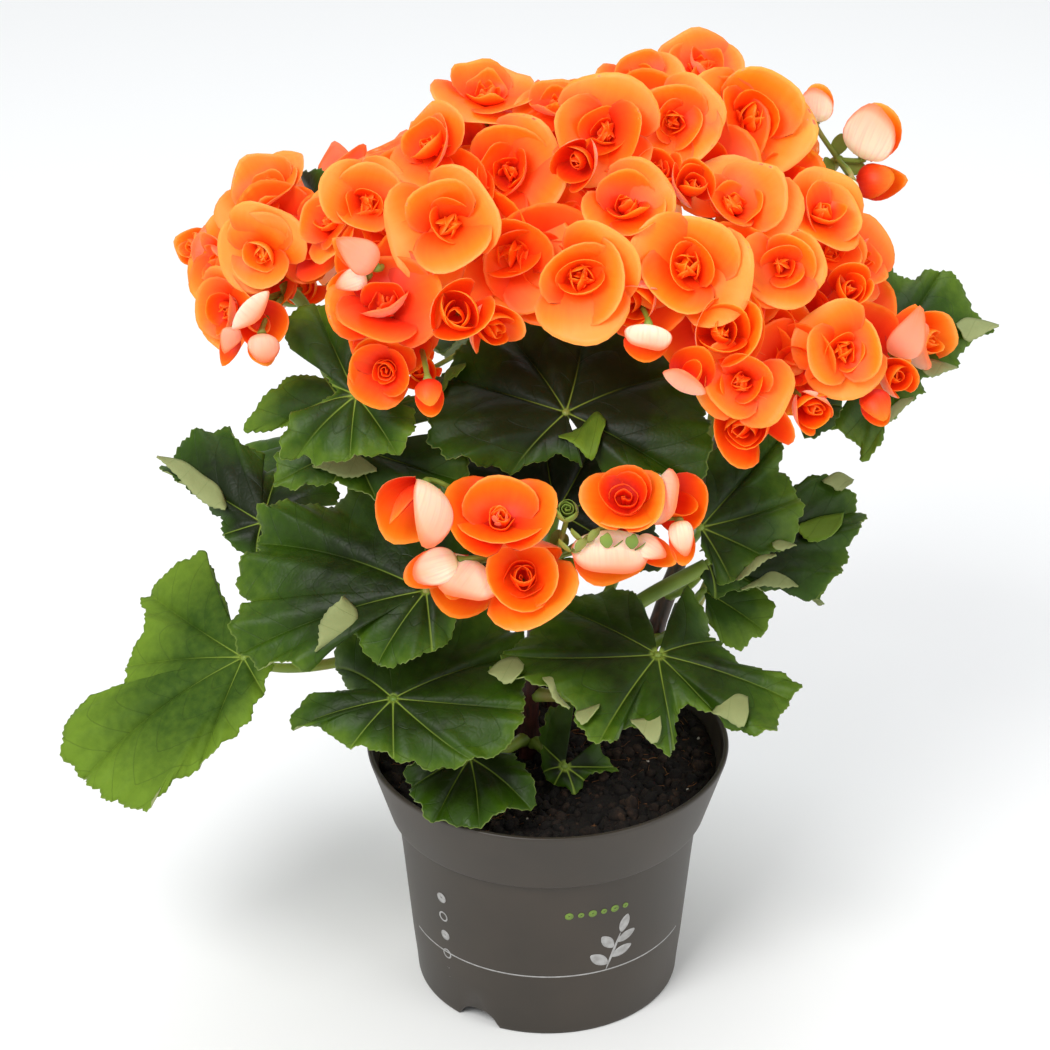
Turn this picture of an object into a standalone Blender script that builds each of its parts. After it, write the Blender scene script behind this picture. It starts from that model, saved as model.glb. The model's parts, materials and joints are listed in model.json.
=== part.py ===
# A potted winter begonia: a nursery pot, its soil, four stems, large lobed leaves and sprays of
# double orange blooms. Lengths here are in millimetres and become metres where a mesh is made.
# The pot stands on z = 0 round the z axis, and the front of the plant faces -y.
import math

import bmesh
import bpy
import numpy as np

MM = 0.001

# Pot
POT_HEIGHT = 96.0
RIM_RADIUS = 65.0
COLLAR_HEIGHT = 26.0
COLLAR_FOOT_RADIUS = 57.4
BODY_TOP_RADIUS = 54.5
BASE_RADIUS = 47.8
POT_WALL = 1.6
FLOOR_UNDERSIDE = 6.5
CENTRE_FOOT_RADIUS = 9.0
POT_STEPS = 44
NOTCH_RADIUS = 8.7
NOTCH_HEIGHT = 6.2
NOTCH_BEARINGS = (-122.0, 58.0)

# Soil
SOIL_TOP = 88.0
SOIL_BUMP = 1.6
SOIL_STEPS = 28
GAP = 0.35

# Blades and stalks
BLADE = 0.7
PETIOLE_RADII = (2.3, 1.7)
PEDUNCLE_RADII = (2.4, 1.9)
PEDICEL_RADIUS = 1.1
STALK_SIDES = 3
NODE_RADIUS = 3.2
BRANCH_LEAN = math.radians(25)
PETIOLE_ROOM = 0.2
PEDUNCLE_ROOM = 0.65

# The line of sight through a pixel of the photograph, which is 1050 pixels square
VIEW_ANGLE = math.radians(28.7)
VIEW_FOCAL = 3453.0
VIEW_MIDDLE = 525.0
VIEW_DISTANCE = 1200.0
VIEW_TARGET = np.array([-8.2, 0.0, 183.4])
ACROSS = np.array([1.0, 0.0, 0.0])
TOWARD = np.array([0.0, -math.cos(VIEW_ANGLE), math.sin(VIEW_ANGLE)])
UPWARD = np.array([0.0, math.sin(VIEW_ANGLE), math.cos(VIEW_ANGLE)])
EYE = VIEW_TARGET + VIEW_DISTANCE * TOWARD

# The rounded head of flowers, and how far each bloom stands behind the ones that hide it
MOUND_CENTRE = np.array([8.0, 10.0, 215.0])
MOUND_RADII = np.array([135.0, 105.0, 130.0])
BLOOM_SCALE = 1.0
CROWDING_STEP = 1.5
CROWDING_SPREAD = 1.0
CROWDING_DEPTH = 0.42

# Each stem: the points it passes, from its foot in the soil, with its radius at foot and top
STEMS = {
    "stem_front": dict(path=[(-7, 1, 60), (-7, 1, 92), (-6, -3, 122), (-4, -6, 150), (-1, 2, 200),
                             (2, 8, 250)], radii=(3.6, 2.6)),
    "stem_right": dict(path=[(22, 18, 60), (27, 20, 92), (37, 25, 120), (47, 30, 152), (60, 28, 200),
                             (70, 22, 244)], radii=(3.6, 2.6)),
    "stem_left": dict(path=[(-22, 12, 60), (-26, 13, 92), (-36, 14, 120), (-46, 12, 152),
                            (-60, 8, 205), (-68, 4, 246)], radii=(3.4, 2.5)),
    "stem_back": dict(path=[(4, 28, 60), (3, 34, 92), (2, 44, 120), (1, 54, 152), (0, 60, 200),
                            (0, 60, 244)], radii=(3.4, 2.5)),
}

# Each leaf: the pixel and depth of its hub, the way it faces, the stem and height that it grows
# from, and its edge read off the photograph, round from one side of its notch to the other
LEAVES = {
    "leaf_far_left": dict(hub=(243, 657), depth=-20, faces=(-.30, -.45, .84), droop=5,
                          stem="stem_left", joint=130,
                          edge=[(273, 662), (253, 716), (219, 753), (182, 773), (147, 813), (99, 793),
                                (58, 752), (84, 696), (125, 688), (127, 658), (151, 625), (140, 598),
                                (203, 550), (226, 604)]),
    "leaf_left_large": dict(hub=(426, 590), depth=-48, faces=(-.15, -.50, .85), droop=7,
                            stem="stem_left", joint=140,
                            edge=[(456, 617), (428, 660), (393, 666), (357, 632), (316, 650),
                                  (298, 671), (264, 664), (228, 632), (253, 611), (233, 575),
                                  (258, 543), (260, 518), (308, 509), (348, 495), (392, 462),
                                  (424, 458), (462, 480), (468, 545), (474, 592)]),
    "leaf_lower_left": dict(hub=(393, 698), depth=-50, faces=(-.05, -.38, .92), droop=6,
                            stem="stem_left", joint=102,
                            edge=[(424, 638), (472, 632), (512, 656), (522, 729), (502, 752), (459, 764),
                                  (402, 760), (368, 749), (322, 723), (294, 729), (290, 711),
                                  (351, 689), (333, 662), (332, 642), (368, 646)]),
    "leaf_front_right": dict(hub=(658, 654), depth=-42, faces=(.05, -.32, .94), droop=6,
                             stem="stem_front", joint=118,
                             edge=[(686, 596), (705, 628), (748, 660), (802, 690), (776, 704),
                                   (760, 738), (722, 712), (677, 704), (666, 751), (622, 719),
                                   (606, 746), (578, 714), (540, 696), (488, 673), (530, 634),
                                   (578, 598), (636, 604)]),
    "leaf_over_rim": dict(hub=(470, 757), depth=-38, faces=(0, -.40, .92), droop=3,
                          stem="stem_front", joint=98,
                          edge=[(512, 752), (530, 775), (538, 797), (505, 817), (470, 823), (428, 820),
                                (413, 795), (405, 765), (440, 748)]),
    "leaf_young": dict(hub=(565, 766), depth=-20, faces=(.10, -.55, .83), droop=2,
                       stem="stem_front", joint=97,
                       edge=[(595, 742), (618, 768), (590, 772), (577, 790), (545, 774), (540, 735),
                             (550, 704), (575, 702)]),
    "leaf_left_curled": dict(hub=(262, 522), depth=2, faces=(-.20, -.55, .81), droop=4,
                             stem="stem_left", joint=165,
                             edge=[(338, 505), (336, 479), (300, 476), (262, 468), (264, 457),
                                   (234, 441), (233, 428), (193, 434), (155, 461), (194, 492),
                                   (222, 518), (220, 536), (247, 555), (285, 545)]),
    "leaf_left_upper": dict(hub=(356, 395), depth=-42, faces=(-.15, -.62, .77), droop=4,
                            stem="stem_left", joint=220,
                            edge=[(412, 406), (418, 428), (403, 451), (361, 456), (314, 461),
                                  (304, 451), (276, 457), (292, 415), (336, 391), (315, 352),
                                  (312, 330), (345, 338)]),
    "leaf_left_behind": dict(hub=(338, 396), depth=-14, faces=(-.30, -.55, .78), droop=3,
                             stem="stem_left", joint=214,
                             edge=[(345, 420), (300, 420), (239, 428), (250, 412), (275, 390),
                                   (294, 376), (323, 373), (350, 378)]),
    "leaf_left_inner": dict(hub=(352, 445), depth=-28, faces=(-.10, -.45, .89), droop=4,
                            stem="stem_left", joint=208,
                            edge=[(420, 452), (400, 478), (362, 484), (330, 478), (300, 486),
                                  (273, 482), (276, 455), (310, 436), (380, 436)]),
    "leaf_centre": dict(hub=(566, 412), depth=-40, faces=(0, -.58, .81), droop=6,
                        stem="stem_front", joint=222,
                        edge=[(602, 471), (655, 478), (704, 479), (712, 452), (704, 405), (675, 371),
                              (640, 350), (600, 338), (540, 332), (485, 342), (431, 377), (428, 441),
                              (447, 462), (515, 468), (562, 456), (584, 468)]),
    "leaf_inner": dict(hub=(556, 512), depth=-24, faces=(0, -.72, .69), droop=4,
                       stem="stem_front", joint=176,
                       edge=[(592, 552), (640, 530), (640, 476), (600, 440), (530, 436), (478, 456),
                             (468, 500), (474, 546), (512, 558)]),
    "leaf_right_large": dict(hub=(701, 527), depth=-20, faces=(.15, -.62, .77), droop=4,
                             stem="stem_right", joint=166,
                             edge=[(700, 546), (716, 568), (721, 583), (737, 581), (755, 559),
                                   (795, 540), (802, 512), (797, 490), (778, 467), (783, 435),
                                   (745, 430), (706, 455)]),
    "leaf_right_curled": dict(hub=(708, 562), depth=0, faces=(.20, -.50, .84), droop=4,
                              stem="stem_right", joint=142,
                              edge=[(700, 575), (726, 594), (766, 585), (787, 584), (813, 597),
                                    (845, 566), (864, 520), (853, 493), (815, 480), (770, 500),
                                    (715, 530)]),
    "leaf_right_light": dict(hub=(704, 590), depth=8, faces=(.30, -.55, .78), droop=3,
                             stem="stem_right", joint=124,
                             edge=[(707, 612), (717, 638), (737, 651), (769, 628), (772, 607),
                                   (757, 589), (725, 575)]),
    "leaf_right_upper": dict(hub=(880, 350), depth=6, faces=(.20, -.55, .81), droop=5,
                             stem="stem_right", joint=226,
                             edge=[(828, 429), (857, 441), (866, 458), (881, 446), (883, 429),
                                   (927, 386), (925, 377), (958, 365), (968, 341), (997, 327),
                                   (973, 299), (958, 278), (940, 271), (902, 281), (883, 259),
                                   (860, 275), (835, 330)]),
    "leaf_right_under": dict(hub=(787, 398), depth=-24, faces=(.10, -.55, .83), droop=3,
                             stem="stem_right", joint=222,
                             edge=[(802, 440), (817, 437), (838, 420), (845, 385), (820, 355),
                                   (775, 355), (757, 385), (758, 425), (780, 438)]),
    "leaf_upper_left": dict(hub=(332, 222), depth=14, faces=(-.35, -.45, .82), droop=2,
                            stem="stem_left", joint=244,
                            edge=[(352, 245), (310, 250), (298, 205), (300, 168), (322, 172),
                                  (352, 190)]),
}

# Leaves on the side that the photograph doesn't show: bearing of the hub from the pot's axis,
# its distance and height, the length of the blade, and where it grows
BACK_LEAVES = {
    "leaf_back_right_low": dict(bearing=36, reach=80, height=150, length=46, tilt=28,
                                stem="stem_right", joint=108),
    "leaf_back_low": dict(bearing=66, reach=86, height=152, length=56, tilt=24,
                          stem="stem_back", joint=110),
    "leaf_back_left_low": dict(bearing=118, reach=84, height=146, length=55, tilt=26,
                               stem="stem_back", joint=126),
    "leaf_back_left_side": dict(bearing=138, reach=92, height=188, length=52, tilt=22,
                                stem="stem_left", joint=150),
    "leaf_back_right_high": dict(bearing=48, reach=96, height=212, length=50, tilt=30,
                                 stem="stem_right", joint=186),
    "leaf_back_high": dict(bearing=98, reach=88, height=216, length=50, tilt=32,
                           stem="stem_back", joint=176),
}
BACK_LEAF_TURNS = 14

# Each spray: where its stalks part, the stem and height it grows from, and its blooms as
# (pixel across, pixel down, width in pixels, facing right, facing up, layer, kind)
SPRAYS = {
    "spray_far_left": dict(fork=(-88, 2, 272), stem="stem_left", joint=234, blooms=[
        (263, 188, 80, -.45, .50, 1, "open"), (255, 251, 90, -.35, -.15, 0, "open"),
        (218, 262, 80, -.80, .10, 1, "open"), (225, 310, 68, -.70, -.20, 1, "open"),
        (196, 246, 44, -.80, .20, 1, "half"), (258, 318, 54, -.30, -.60, 0, "half"),
        (263, 352, 36, -.10, -.85, 0, "bud"), (231, 344, 28, -.50, -.75, 1, "bud")]),
    "spray_left": dict(fork=(-60, 2, 298), stem="stem_left", joint=241, blooms=[
        (367, 201, 75, .15, .15, 0, "open"), (326, 222, 68, -.60, .20, 1, "open"),
        (352, 251, 50, -.60, -.30, 0, "half"), (347, 281, 34, -.50, -.70, 0, "bud")]),
    "spray_lower_left": dict(fork=(-44, -22, 270), stem="stem_left", joint=227, blooms=[
        (386, 305, 92, -.20, .00, 0, "open"), (385, 371, 68, -.10, -.25, 0, "bowl"),
        (463, 306, 60, -.10, -.10, 0, "half"), (492, 330, 56, .40, -.40, 1, "half"),
        (427, 393, 34, -.10, -.80, 0, "bud")]),
    "spray_upper_left": dict(fork=(-16, 8, 300), stem="stem_front", joint=240, blooms=[
        (429, 146, 72, -.50, .30, 1, "open"), (486, 92, 82, .00, .70, 1, "open"),
        (506, 165, 98, -.20, .15, 1, "open"), (445, 222, 98, -.15, .00, 0, "open"),
        (509, 254, 104, .00, -.05, 0, "open"), (555, 105, 62, -.20, .60, 2, "open")]),
    "spray_top": dict(fork=(42, 26, 314), stem="stem_front", joint=247, blooms=[
        (602, 128, 92, -.20, .05, 0, "open"), (677, 117, 92, -.05, .05, 0, "open"),
        (643, 78, 68, .00, .60, 1, "open"), (696, 56, 62, .10, .70, 2, "open"),
        (767, 123, 100, .25, .15, 0, "open"), (576, 163, 54, -.30, -.30, 2, "half")]),
    "spray_young": dict(fork=(98, 34, 306), stem="stem_right", joint=238, blooms=[
        (815, 110, 36, .05, .95, 1, "bud"), (873, 134, 62, .45, .65, 0, "half"),
        (884, 182, 44, .75, -.40, 0, "half"), (850, 187, 22, -.20, -.70, 0, "bud")]),
    "spray_middle_left": dict(fork=(18, -14, 288), stem="stem_front", joint=231, blooms=[
        (580, 279, 98, -.10, -.10, 0, "open"), (568, 222, 66, -.20, .20, 2, "open"),
        (625, 205, 76, .00, .40, 1, "open"), (643, 245, 56, .00, .10, 2, "open"),
        (632, 300, 48, -.20, -.40, 1, "half"), (643, 343, 48, .05, -.85, 0, "bud"),
        (655, 172, 54, .00, .30, 2, "half")]),
    "spray_middle_right": dict(fork=(62, -6, 294), stem="stem_right", joint=241, blooms=[
        (692, 271, 114, .00, .00, 0, "open"), (746, 200, 92, .10, .45, 1, "open"),
        (693, 183, 50, .10, .30, 1, "half"), (783, 266, 76, .15, -.05, 0, "open"),
        (775, 328, 70, .10, .00, 1, "open"), (727, 328, 56, .15, .10, 0, "half")]),
    "spray_right": dict(fork=(100, 4, 278), stem="stem_right", joint=231, blooms=[
        (825, 213, 72, .40, .40, 1, "open"), (832, 250, 58, .25, .15, 1, "open"),
        (862, 258, 68, .60, .20, 2, "open"), (850, 288, 48, .25, .20, 1, "half"),
        (843, 351, 94, .00, .00, 0, "open"), (907, 326, 72, .60, .20, 1, "open"),
        (896, 377, 48, .25, -.10, 0, "half"), (875, 408, 38, .10, -.70, 1, "bud")]),
    "spray_lower_right": dict(fork=(60, -22, 264), stem="stem_right", joint=215, blooms=[
        (744, 381, 76, -.05, -.10, 0, "open"), (811, 411, 54, .25, -.45, 0, "half"),
        (750, 436, 68, .10, -.55, 0, "half"), (689, 374, 46, -.20, -.55, 0, "half")]),
    "spray_front": dict(fork=(2, -56, 202), stem="stem_front", joint=166, depth=-74, blooms=[
        (424, 512, 72, -.55, -.25, 0, "half"), (432, 564, 58, -.40, -.45, 1, "half"),
        (502, 519, 104, .00, .58, 0, "bowl"), (531, 588, 92, .05, .10, 0, "bowl"),
        (567, 510, 30, .00, .40, 1, "bud"),
        (611, 568, 74, .15, -.65, 0, "half"), (650, 551, 28, .70, -.30, 1, "bud"),
        (627, 497, 84, .00, .62, 0, "bowl"), (688, 502, 62, .62, -.05, 0, "half"),
        (681, 542, 34, .20, -.75, 1, "bud")]),
}

# Sprays on the side that the photograph doesn't show, with their blooms as
# (bearing, height angle, width in millimetres, kind) on the mound, or sunk in it by some millimetres
BACK_SPRAYS = {
    "spray_back_left": dict(fork=(-60, 50, 272), stem="stem_back", joint=221, sink=7, blooms=[
        (144, 35, 30, "open"), (150, 15, 31, "open"), (124, 35, 32, "open"), (127, 17, 30, "open")]),
    "spray_crown": dict(fork=(-8, 36, 292), stem="stem_front", joint=249, sink=13, blooms=[
        (140, 46, 32, "open"), (108, 57, 32, "open"), (72, 57, 33, "open")]),
    "spray_back": dict(fork=(6, 82, 286), stem="stem_back", joint=234, blooms=[
        (104, 40, 32, "open"), (84, 36, 33, "open"), (104, 21, 31, "open"), (80, 17, 30, "open"),
        (66, 3, 28, "open"), (93, 2, 20, "half")]),
    "spray_back_right": dict(fork=(74, 54, 282), stem="stem_back", joint=226, blooms=[
        (60, 28, 32, "open"), (44, 44, 32, "open"), (34, 8, 30, "open"), (66, 46, 29, "open"),
        (54, 8, 21, "half")]),
}

# How a bloom is built up in rings, as shares of half its width: for a plain ring (corners, radius,
# height), and for a ring of petals (petals, tip radius, notch radius, tip height, notch height)
BLOOM_RINGS = {
    "open": dict(plain_back=(8, .32, -.36), rings=[(4, 1.0, .76, .06, -.10), (8, .58, -.04),
                                                   (3, .68, .46, .32, .12), (6, .27, .36)], tip=.12),
    "bowl": dict(plain_back=(8, .38, -.48), rings=[(4, 1.0, .84, .26, .12), (8, .60, -.12),
                                                   (3, .40, .30, .10, .00), (6, .15, .14)], tip=.02),
    "half": dict(plain_back=(6, .46, -.72), rings=[(3, 1.0, .84, -.06, -.18), (3, .80, .56, .66, .42),
                                                   (6, .34, .30)], tip=.42),
    "bud": dict(plain_back=(6, .50, -.80), rings=[(6, .98, -.16), (6, .62, .58)], tip=1.0),
}


def unit(vector):
    return np.asarray(vector, float) / np.linalg.norm(vector)


def sight(pixel):
    """The unit line of sight from the eye through a pixel."""
    across, down = pixel
    return unit((across - VIEW_MIDDLE) * ACROSS - (down - VIEW_MIDDLE) * UPWARD - VIEW_FOCAL * TOWARD)


def on_plane(pixel, point, normal):
    """Where the line of sight through a pixel meets a plane."""
    line = sight(pixel)
    return EYE + line * np.dot(point - EYE, normal) / np.dot(line, normal)


def at_depth(pixel, depth):
    return on_plane(pixel, np.array([0.0, depth, 0.0]), np.array([0.0, 1.0, 0.0]))


def on_mound(pixel):
    """Where the line of sight first meets the mound, or its nearest point to it if it misses."""
    line = sight(pixel) / MOUND_RADII
    start = (EYE - MOUND_CENTRE) / MOUND_RADII
    square, half, rest = line @ line, line @ start, start @ start - 1.0
    under_root = max(half * half - square * rest, 0.0)
    return EYE + sight(pixel) * (-half - math.sqrt(under_root)) / square


def bezier(a, b, c, d, count):
    """Points along a cubic curve from a to d that leaves towards b and arrives from c."""
    t = np.linspace(0.0, 1.0, count)[:, None]
    return (1 - t) ** 3 * a + 3 * (1 - t) ** 2 * t * b + 3 * (1 - t) * t * t * c + t ** 3 * d


def in_frame(axis, first=None):
    """Two unit vectors square to an axis, the first as near as can be to the one asked for."""
    first = np.array([0.0, 0.0, 1.0]) if first is None else first
    first = unit(first - axis * np.dot(first, axis))
    return first, np.cross(axis, first)


# Making Blender objects
def material(name, colour, roughness, metallic=0.0):
    made = bpy.data.materials.new(name)
    made.use_nodes = True
    shader = made.node_tree.nodes["Principled BSDF"]
    shader.inputs["Base Color"].default_value = (*colour, 1.0)
    shader.inputs["Roughness"].default_value = roughness
    shader.inputs["Metallic"].default_value = metallic
    made.diffuse_color = (*colour, 1.0)
    return made


def add_object(name, mesh, collection, surface=None):
    made = bpy.data.objects.new(name, mesh)
    collection.objects.link(made)
    if surface:
        mesh.materials.append(surface)
    return made


def mesh_from(name, points, faces):
    mesh = bpy.data.meshes.new(name)
    mesh.from_pydata((np.asarray(points) * MM).tolist(), [], faces)
    mesh.update()
    return mesh


def evaluated_mesh(made):
    """The object's mesh with its modifiers applied, as a new mesh."""
    bpy.context.view_layer.update()
    graph = bpy.context.evaluated_depsgraph_get()
    return bpy.data.meshes.new_from_object(made.evaluated_get(graph))


def apply_modifiers(made):
    mesh = evaluated_mesh(made)
    made.modifiers.clear()
    made.data = mesh


def merge_doubles(mesh, within=0.00001):
    work = bmesh.new()
    work.from_mesh(mesh)
    bmesh.ops.remove_doubles(work, verts=work.verts, dist=within)
    bmesh.ops.recalc_face_normals(work, faces=work.faces)
    work.to_mesh(mesh)
    work.free()


def tube(name, points, radii, collection, rounding=0):
    """A tapered tube with filled ends: a curve with a bevel, made a closed mesh."""
    curve = bpy.data.curves.new(name, "CURVE")
    curve.dimensions = "3D"
    curve.bevel_depth = MM
    curve.bevel_resolution = rounding
    curve.use_fill_caps = True
    spline = curve.splines.new("POLY")
    spline.points.add(len(points) - 1)
    sizes = np.linspace(radii[0], radii[1], len(points))
    for place, point, size in zip(spline.points, points, sizes):
        place.co = (*(np.asarray(point) * MM), 1.0)
        place.radius = size
    guide = add_object(name + "_guide", curve, collection)
    mesh = evaluated_mesh(guide)
    bpy.data.objects.remove(guide)
    merge_doubles(mesh)
    return add_object(name, mesh, collection)


def joined(name, pieces, surface, solver="EXACT"):
    """One body from pieces that overlap: a Boolean union on a collection of all but the first."""
    first, rest = pieces[0], pieces[1:]
    others = bpy.data.collections.new(name + "_joined")
    bpy.context.scene.collection.children.link(others)
    for piece in rest:
        for owner in list(piece.users_collection):
            owner.objects.unlink(piece)
        others.objects.link(piece)
    union = first.modifiers.new("union", "BOOLEAN")
    union.operation = "UNION"
    union.operand_type = "COLLECTION"
    union.collection = others
    union.solver = solver
    apply_modifiers(first)
    for piece in rest:
        bpy.data.objects.remove(piece)
    bpy.data.collections.remove(others)
    first.name = name
    first.data.name = name
    first.data.materials.clear()
    first.data.materials.append(surface)
    return first


def turned(name, profile, steps, collection, surface):
    """A profile of (radius, height) points swept round the z axis with a Screw modifier."""
    mesh = bpy.data.meshes.new(name)
    points = [(radius * MM, 0.0, height * MM) for radius, height in profile]
    mesh.from_pydata(points, [(i, i + 1) for i in range(len(points) - 1)], [])
    made = add_object(name, mesh, collection, surface)
    screw = made.modifiers.new("turn", "SCREW")
    screw.steps = screw.render_steps = steps
    screw.use_merge_vertices = True
    screw.merge_threshold = 0.00001
    screw.use_normal_calculate = True
    apply_modifiers(made)
    return made


def cut(made, cutters):
    """Takes each cutter out of the object. The cutters stay as hidden helpers."""
    for cutter in cutters:
        cutter.hide_render = True
        cutter.display_type = "WIRE"
        difference = made.modifiers.new("cut " + cutter.name, "BOOLEAN")
        difference.operation = "DIFFERENCE"
        difference.object = cutter


# Pot
def pot_profile():
    """(radius, height) from the middle of the floor up the inside, over the rim and down outside."""
    collar_foot = POT_HEIGHT - COLLAR_HEIGHT
    floor = FLOOR_UNDERSIDE + POT_WALL
    return [(0, floor), (BASE_RADIUS - POT_WALL - .6, floor),
            (BODY_TOP_RADIUS - POT_WALL, collar_foot), (COLLAR_FOOT_RADIUS - POT_WALL, collar_foot + 2.2),
            (RIM_RADIUS - POT_WALL - .4, POT_HEIGHT - .9), (RIM_RADIUS - POT_WALL + .3, POT_HEIGHT),
            (RIM_RADIUS - .5, POT_HEIGHT), (RIM_RADIUS, POT_HEIGHT - .8),
            (COLLAR_FOOT_RADIUS, collar_foot + .6), (COLLAR_FOOT_RADIUS - .6, collar_foot),
            (BODY_TOP_RADIUS + .2, collar_foot - .2), (BODY_TOP_RADIUS, collar_foot - 1.0),
            (BASE_RADIUS, 1.0), (BASE_RADIUS - .6, 0), (BASE_RADIUS - 2.0, 0),
            (BASE_RADIUS - 1.8, FLOOR_UNDERSIDE), (CENTRE_FOOT_RADIUS + .6, FLOOR_UNDERSIDE),
            (CENTRE_FOOT_RADIUS, 0), (0, 0)]


def make_pot(parts, cutters):
    plastic = material("taupe moulded plastic", (.092, .078, .064), .42)
    pot = turned("pot", pot_profile(), POT_STEPS, parts, plastic)
    notches = []
    for number, bearing in enumerate(NOTCH_BEARINGS):
        angle = math.radians(bearing)
        bpy.ops.mesh.primitive_cylinder_add(vertices=20, radius=NOTCH_RADIUS * MM, depth=14 * MM)
        notch = bpy.context.object
        notch.name = f"notch_{number}"
        notch.rotation_euler = (0, math.pi / 2, angle)
        notch.location = (46.5 * MM * math.cos(angle), 46.5 * MM * math.sin(angle),
                          (NOTCH_HEIGHT - NOTCH_RADIUS) * MM)
        for owner in list(notch.users_collection):
            owner.objects.unlink(notch)
        cutters.objects.link(notch)
        notches.append(notch)
    cut(pot, notches)


# Soil
def soil_height(x, y):
    """Low clods: a sum of three crossed waves, highest at about SOIL_BUMP above the mean."""
    return SOIL_BUMP * (.5 * np.sin(x / 6.1 + 1) * np.cos(y / 7.3) + .3 * np.sin((x + y) / 3.9)
                        + .2 * np.cos((x - 2 * y) / 8.7))


def make_soil(parts, cutters):
    collar_foot = POT_HEIGHT - COLLAR_HEIGHT
    floor = FLOOR_UNDERSIDE + POT_WALL + GAP
    clear = POT_WALL + GAP + .2
    slope = (RIM_RADIUS - COLLAR_FOOT_RADIUS) / COLLAR_HEIGHT
    top_radius = RIM_RADIUS - clear - (POT_HEIGHT - SOIL_TOP) * slope
    earth = material("peat soil", (.018, .012, .008), .95)
    profile = [(0, SOIL_TOP), (14, SOIL_TOP), (28, SOIL_TOP), (42, SOIL_TOP), (54, SOIL_TOP),
               (top_radius - .8, SOIL_TOP - 1.6), (COLLAR_FOOT_RADIUS - clear - .4, collar_foot + 2.2),
               (BODY_TOP_RADIUS - clear, collar_foot - .4), (BASE_RADIUS - clear - .6, floor), (0, floor)]
    soil = turned("soil", profile, SOIL_STEPS, parts, earth)
    for point in soil.data.vertices:
        if point.co.z > (SOIL_TOP - .5) * MM:
            point.co.z += float(soil_height(point.co.x / MM, point.co.y / MM)) * MM
    holes = []
    for name, stem in STEMS.items():
        foot, straight = np.array(stem["path"][0], float), np.array(stem["path"][1], float)
        along = unit(straight - foot)
        ends = [foot - along * GAP, straight + along * 12]
        holes.append(tube("hole_" + name, ends, (stem["radii"][0] + GAP,) * 2, cutters, 2))
    cut(soil, holes)


# Stems
def stem_radius(stem, height):
    """The stem's radius at a height, from foot to top in equal steps from point to point."""
    heights = [point[2] for point in stem["path"]]
    return np.interp(height, heights, np.linspace(*stem["radii"], len(heights)))


def beside_stem(name, height, towards, radius, room):
    """Where a stalk of some radius starts, just clear of a stem, on the side that faces a place,
    and the way it leaves: outwards and up the stem by BRANCH_LEAN."""
    stem = STEMS[name]
    path = np.array(stem["path"], float)
    middle, above = (np.array([np.interp(at, path[:, 2], path[:, axis]) for axis in range(3)])
                     for at in (height, height + 1))
    along = unit(above - middle)
    out, _ = in_frame(along, np.array(towards, float) - middle)
    leaving = unit(out * math.cos(BRANCH_LEAN) + along * math.sin(BRANCH_LEAN))
    clear = stem_radius(stem, height) + room + radius * math.sin(BRANCH_LEAN)
    return middle + out * clear, leaving


def make_stems(parts):
    bark = material("red-brown stem", (.075, .018, .012), .5)
    for name, stem in STEMS.items():
        made = tube(name, stem["path"], stem["radii"], parts, 2)
        made.data.materials.append(bark)


# Leaves
def zipper(low, high):
    """Triangles between two rows of (angle, index), each sorted by angle, however many they hold."""
    faces = []
    i = j = 0
    while i < len(low) - 1 or j < len(high) - 1:
        (_, a), (_, b) = low[i], high[j]
        if j == len(high) - 1 or (i < len(low) - 1 and low[i + 1][0] <= high[j + 1][0]):
            i += 1
            faces.append((a, b, low[i][1]))
        else:
            j += 1
            faces.append((a, b, high[j][1]))
    return faces


def closed_row(row):
    """A ring as a row that ends where it starts, a full turn on."""
    return row + [(row[0][0] + math.tau, row[0][1])]


def leaf_frame(faces):
    """The leaf's normal, and two directions in its plane: one as near straight down as it has."""
    normal = unit(faces)
    down, side = in_frame(normal, np.array([0.0, 0.0, -1.0]))
    return normal, down, side


def photo_leaf(row):
    """The hub, the frame and the edge as (angle, radius) of a leaf read off the photograph."""
    normal, down, side = leaf_frame(row["faces"])
    hub = at_depth(row["hub"], row["depth"])
    base = hub - normal * row["droop"]
    away = np.array([on_plane(pixel, base, normal) - base for pixel in row["edge"]])
    angles = np.unwrap(np.arctan2(away @ side, away @ down))
    edge = sorted(zip(angles, np.hypot(away @ side, away @ down)))
    return hub, (normal, down, side), edge, row["droop"]


def back_leaf(row):
    """The same for a leaf on the far side: a five-lobed heart that tips outwards."""
    bearing = math.radians(row["bearing"])
    out = np.array([math.cos(bearing), math.sin(bearing), 0.0])
    tilt = math.radians(row["tilt"])
    hub = out * row["reach"] + np.array([0.0, 0.0, row["height"]])
    normal, down, side = leaf_frame(out * math.sin(tilt) + np.array([0.0, 0.0, math.cos(tilt)]))
    angles = np.linspace(-.86 * math.pi, .86 * math.pi, BACK_LEAF_TURNS)
    radii = row["length"] * (.74 + .26 * np.cos(angles)) * (1 + .10 * np.cos(5 * angles))
    return hub, (normal, down, side), list(zip(angles, radii)), .1 * row["length"]


def blade_point(hub, frame, angle, radius, share, droop, phase):
    """A point of the blade: out from the hub, drooping as the square of the share, and rippled."""
    normal, down, side = frame
    ripple = .07 * radius * math.sin(3 * angle + phase)
    flat = (down * math.cos(angle) + side * math.sin(angle)) * radius * share
    return hub + flat - normal * (droop - ripple) * share ** 2


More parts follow.
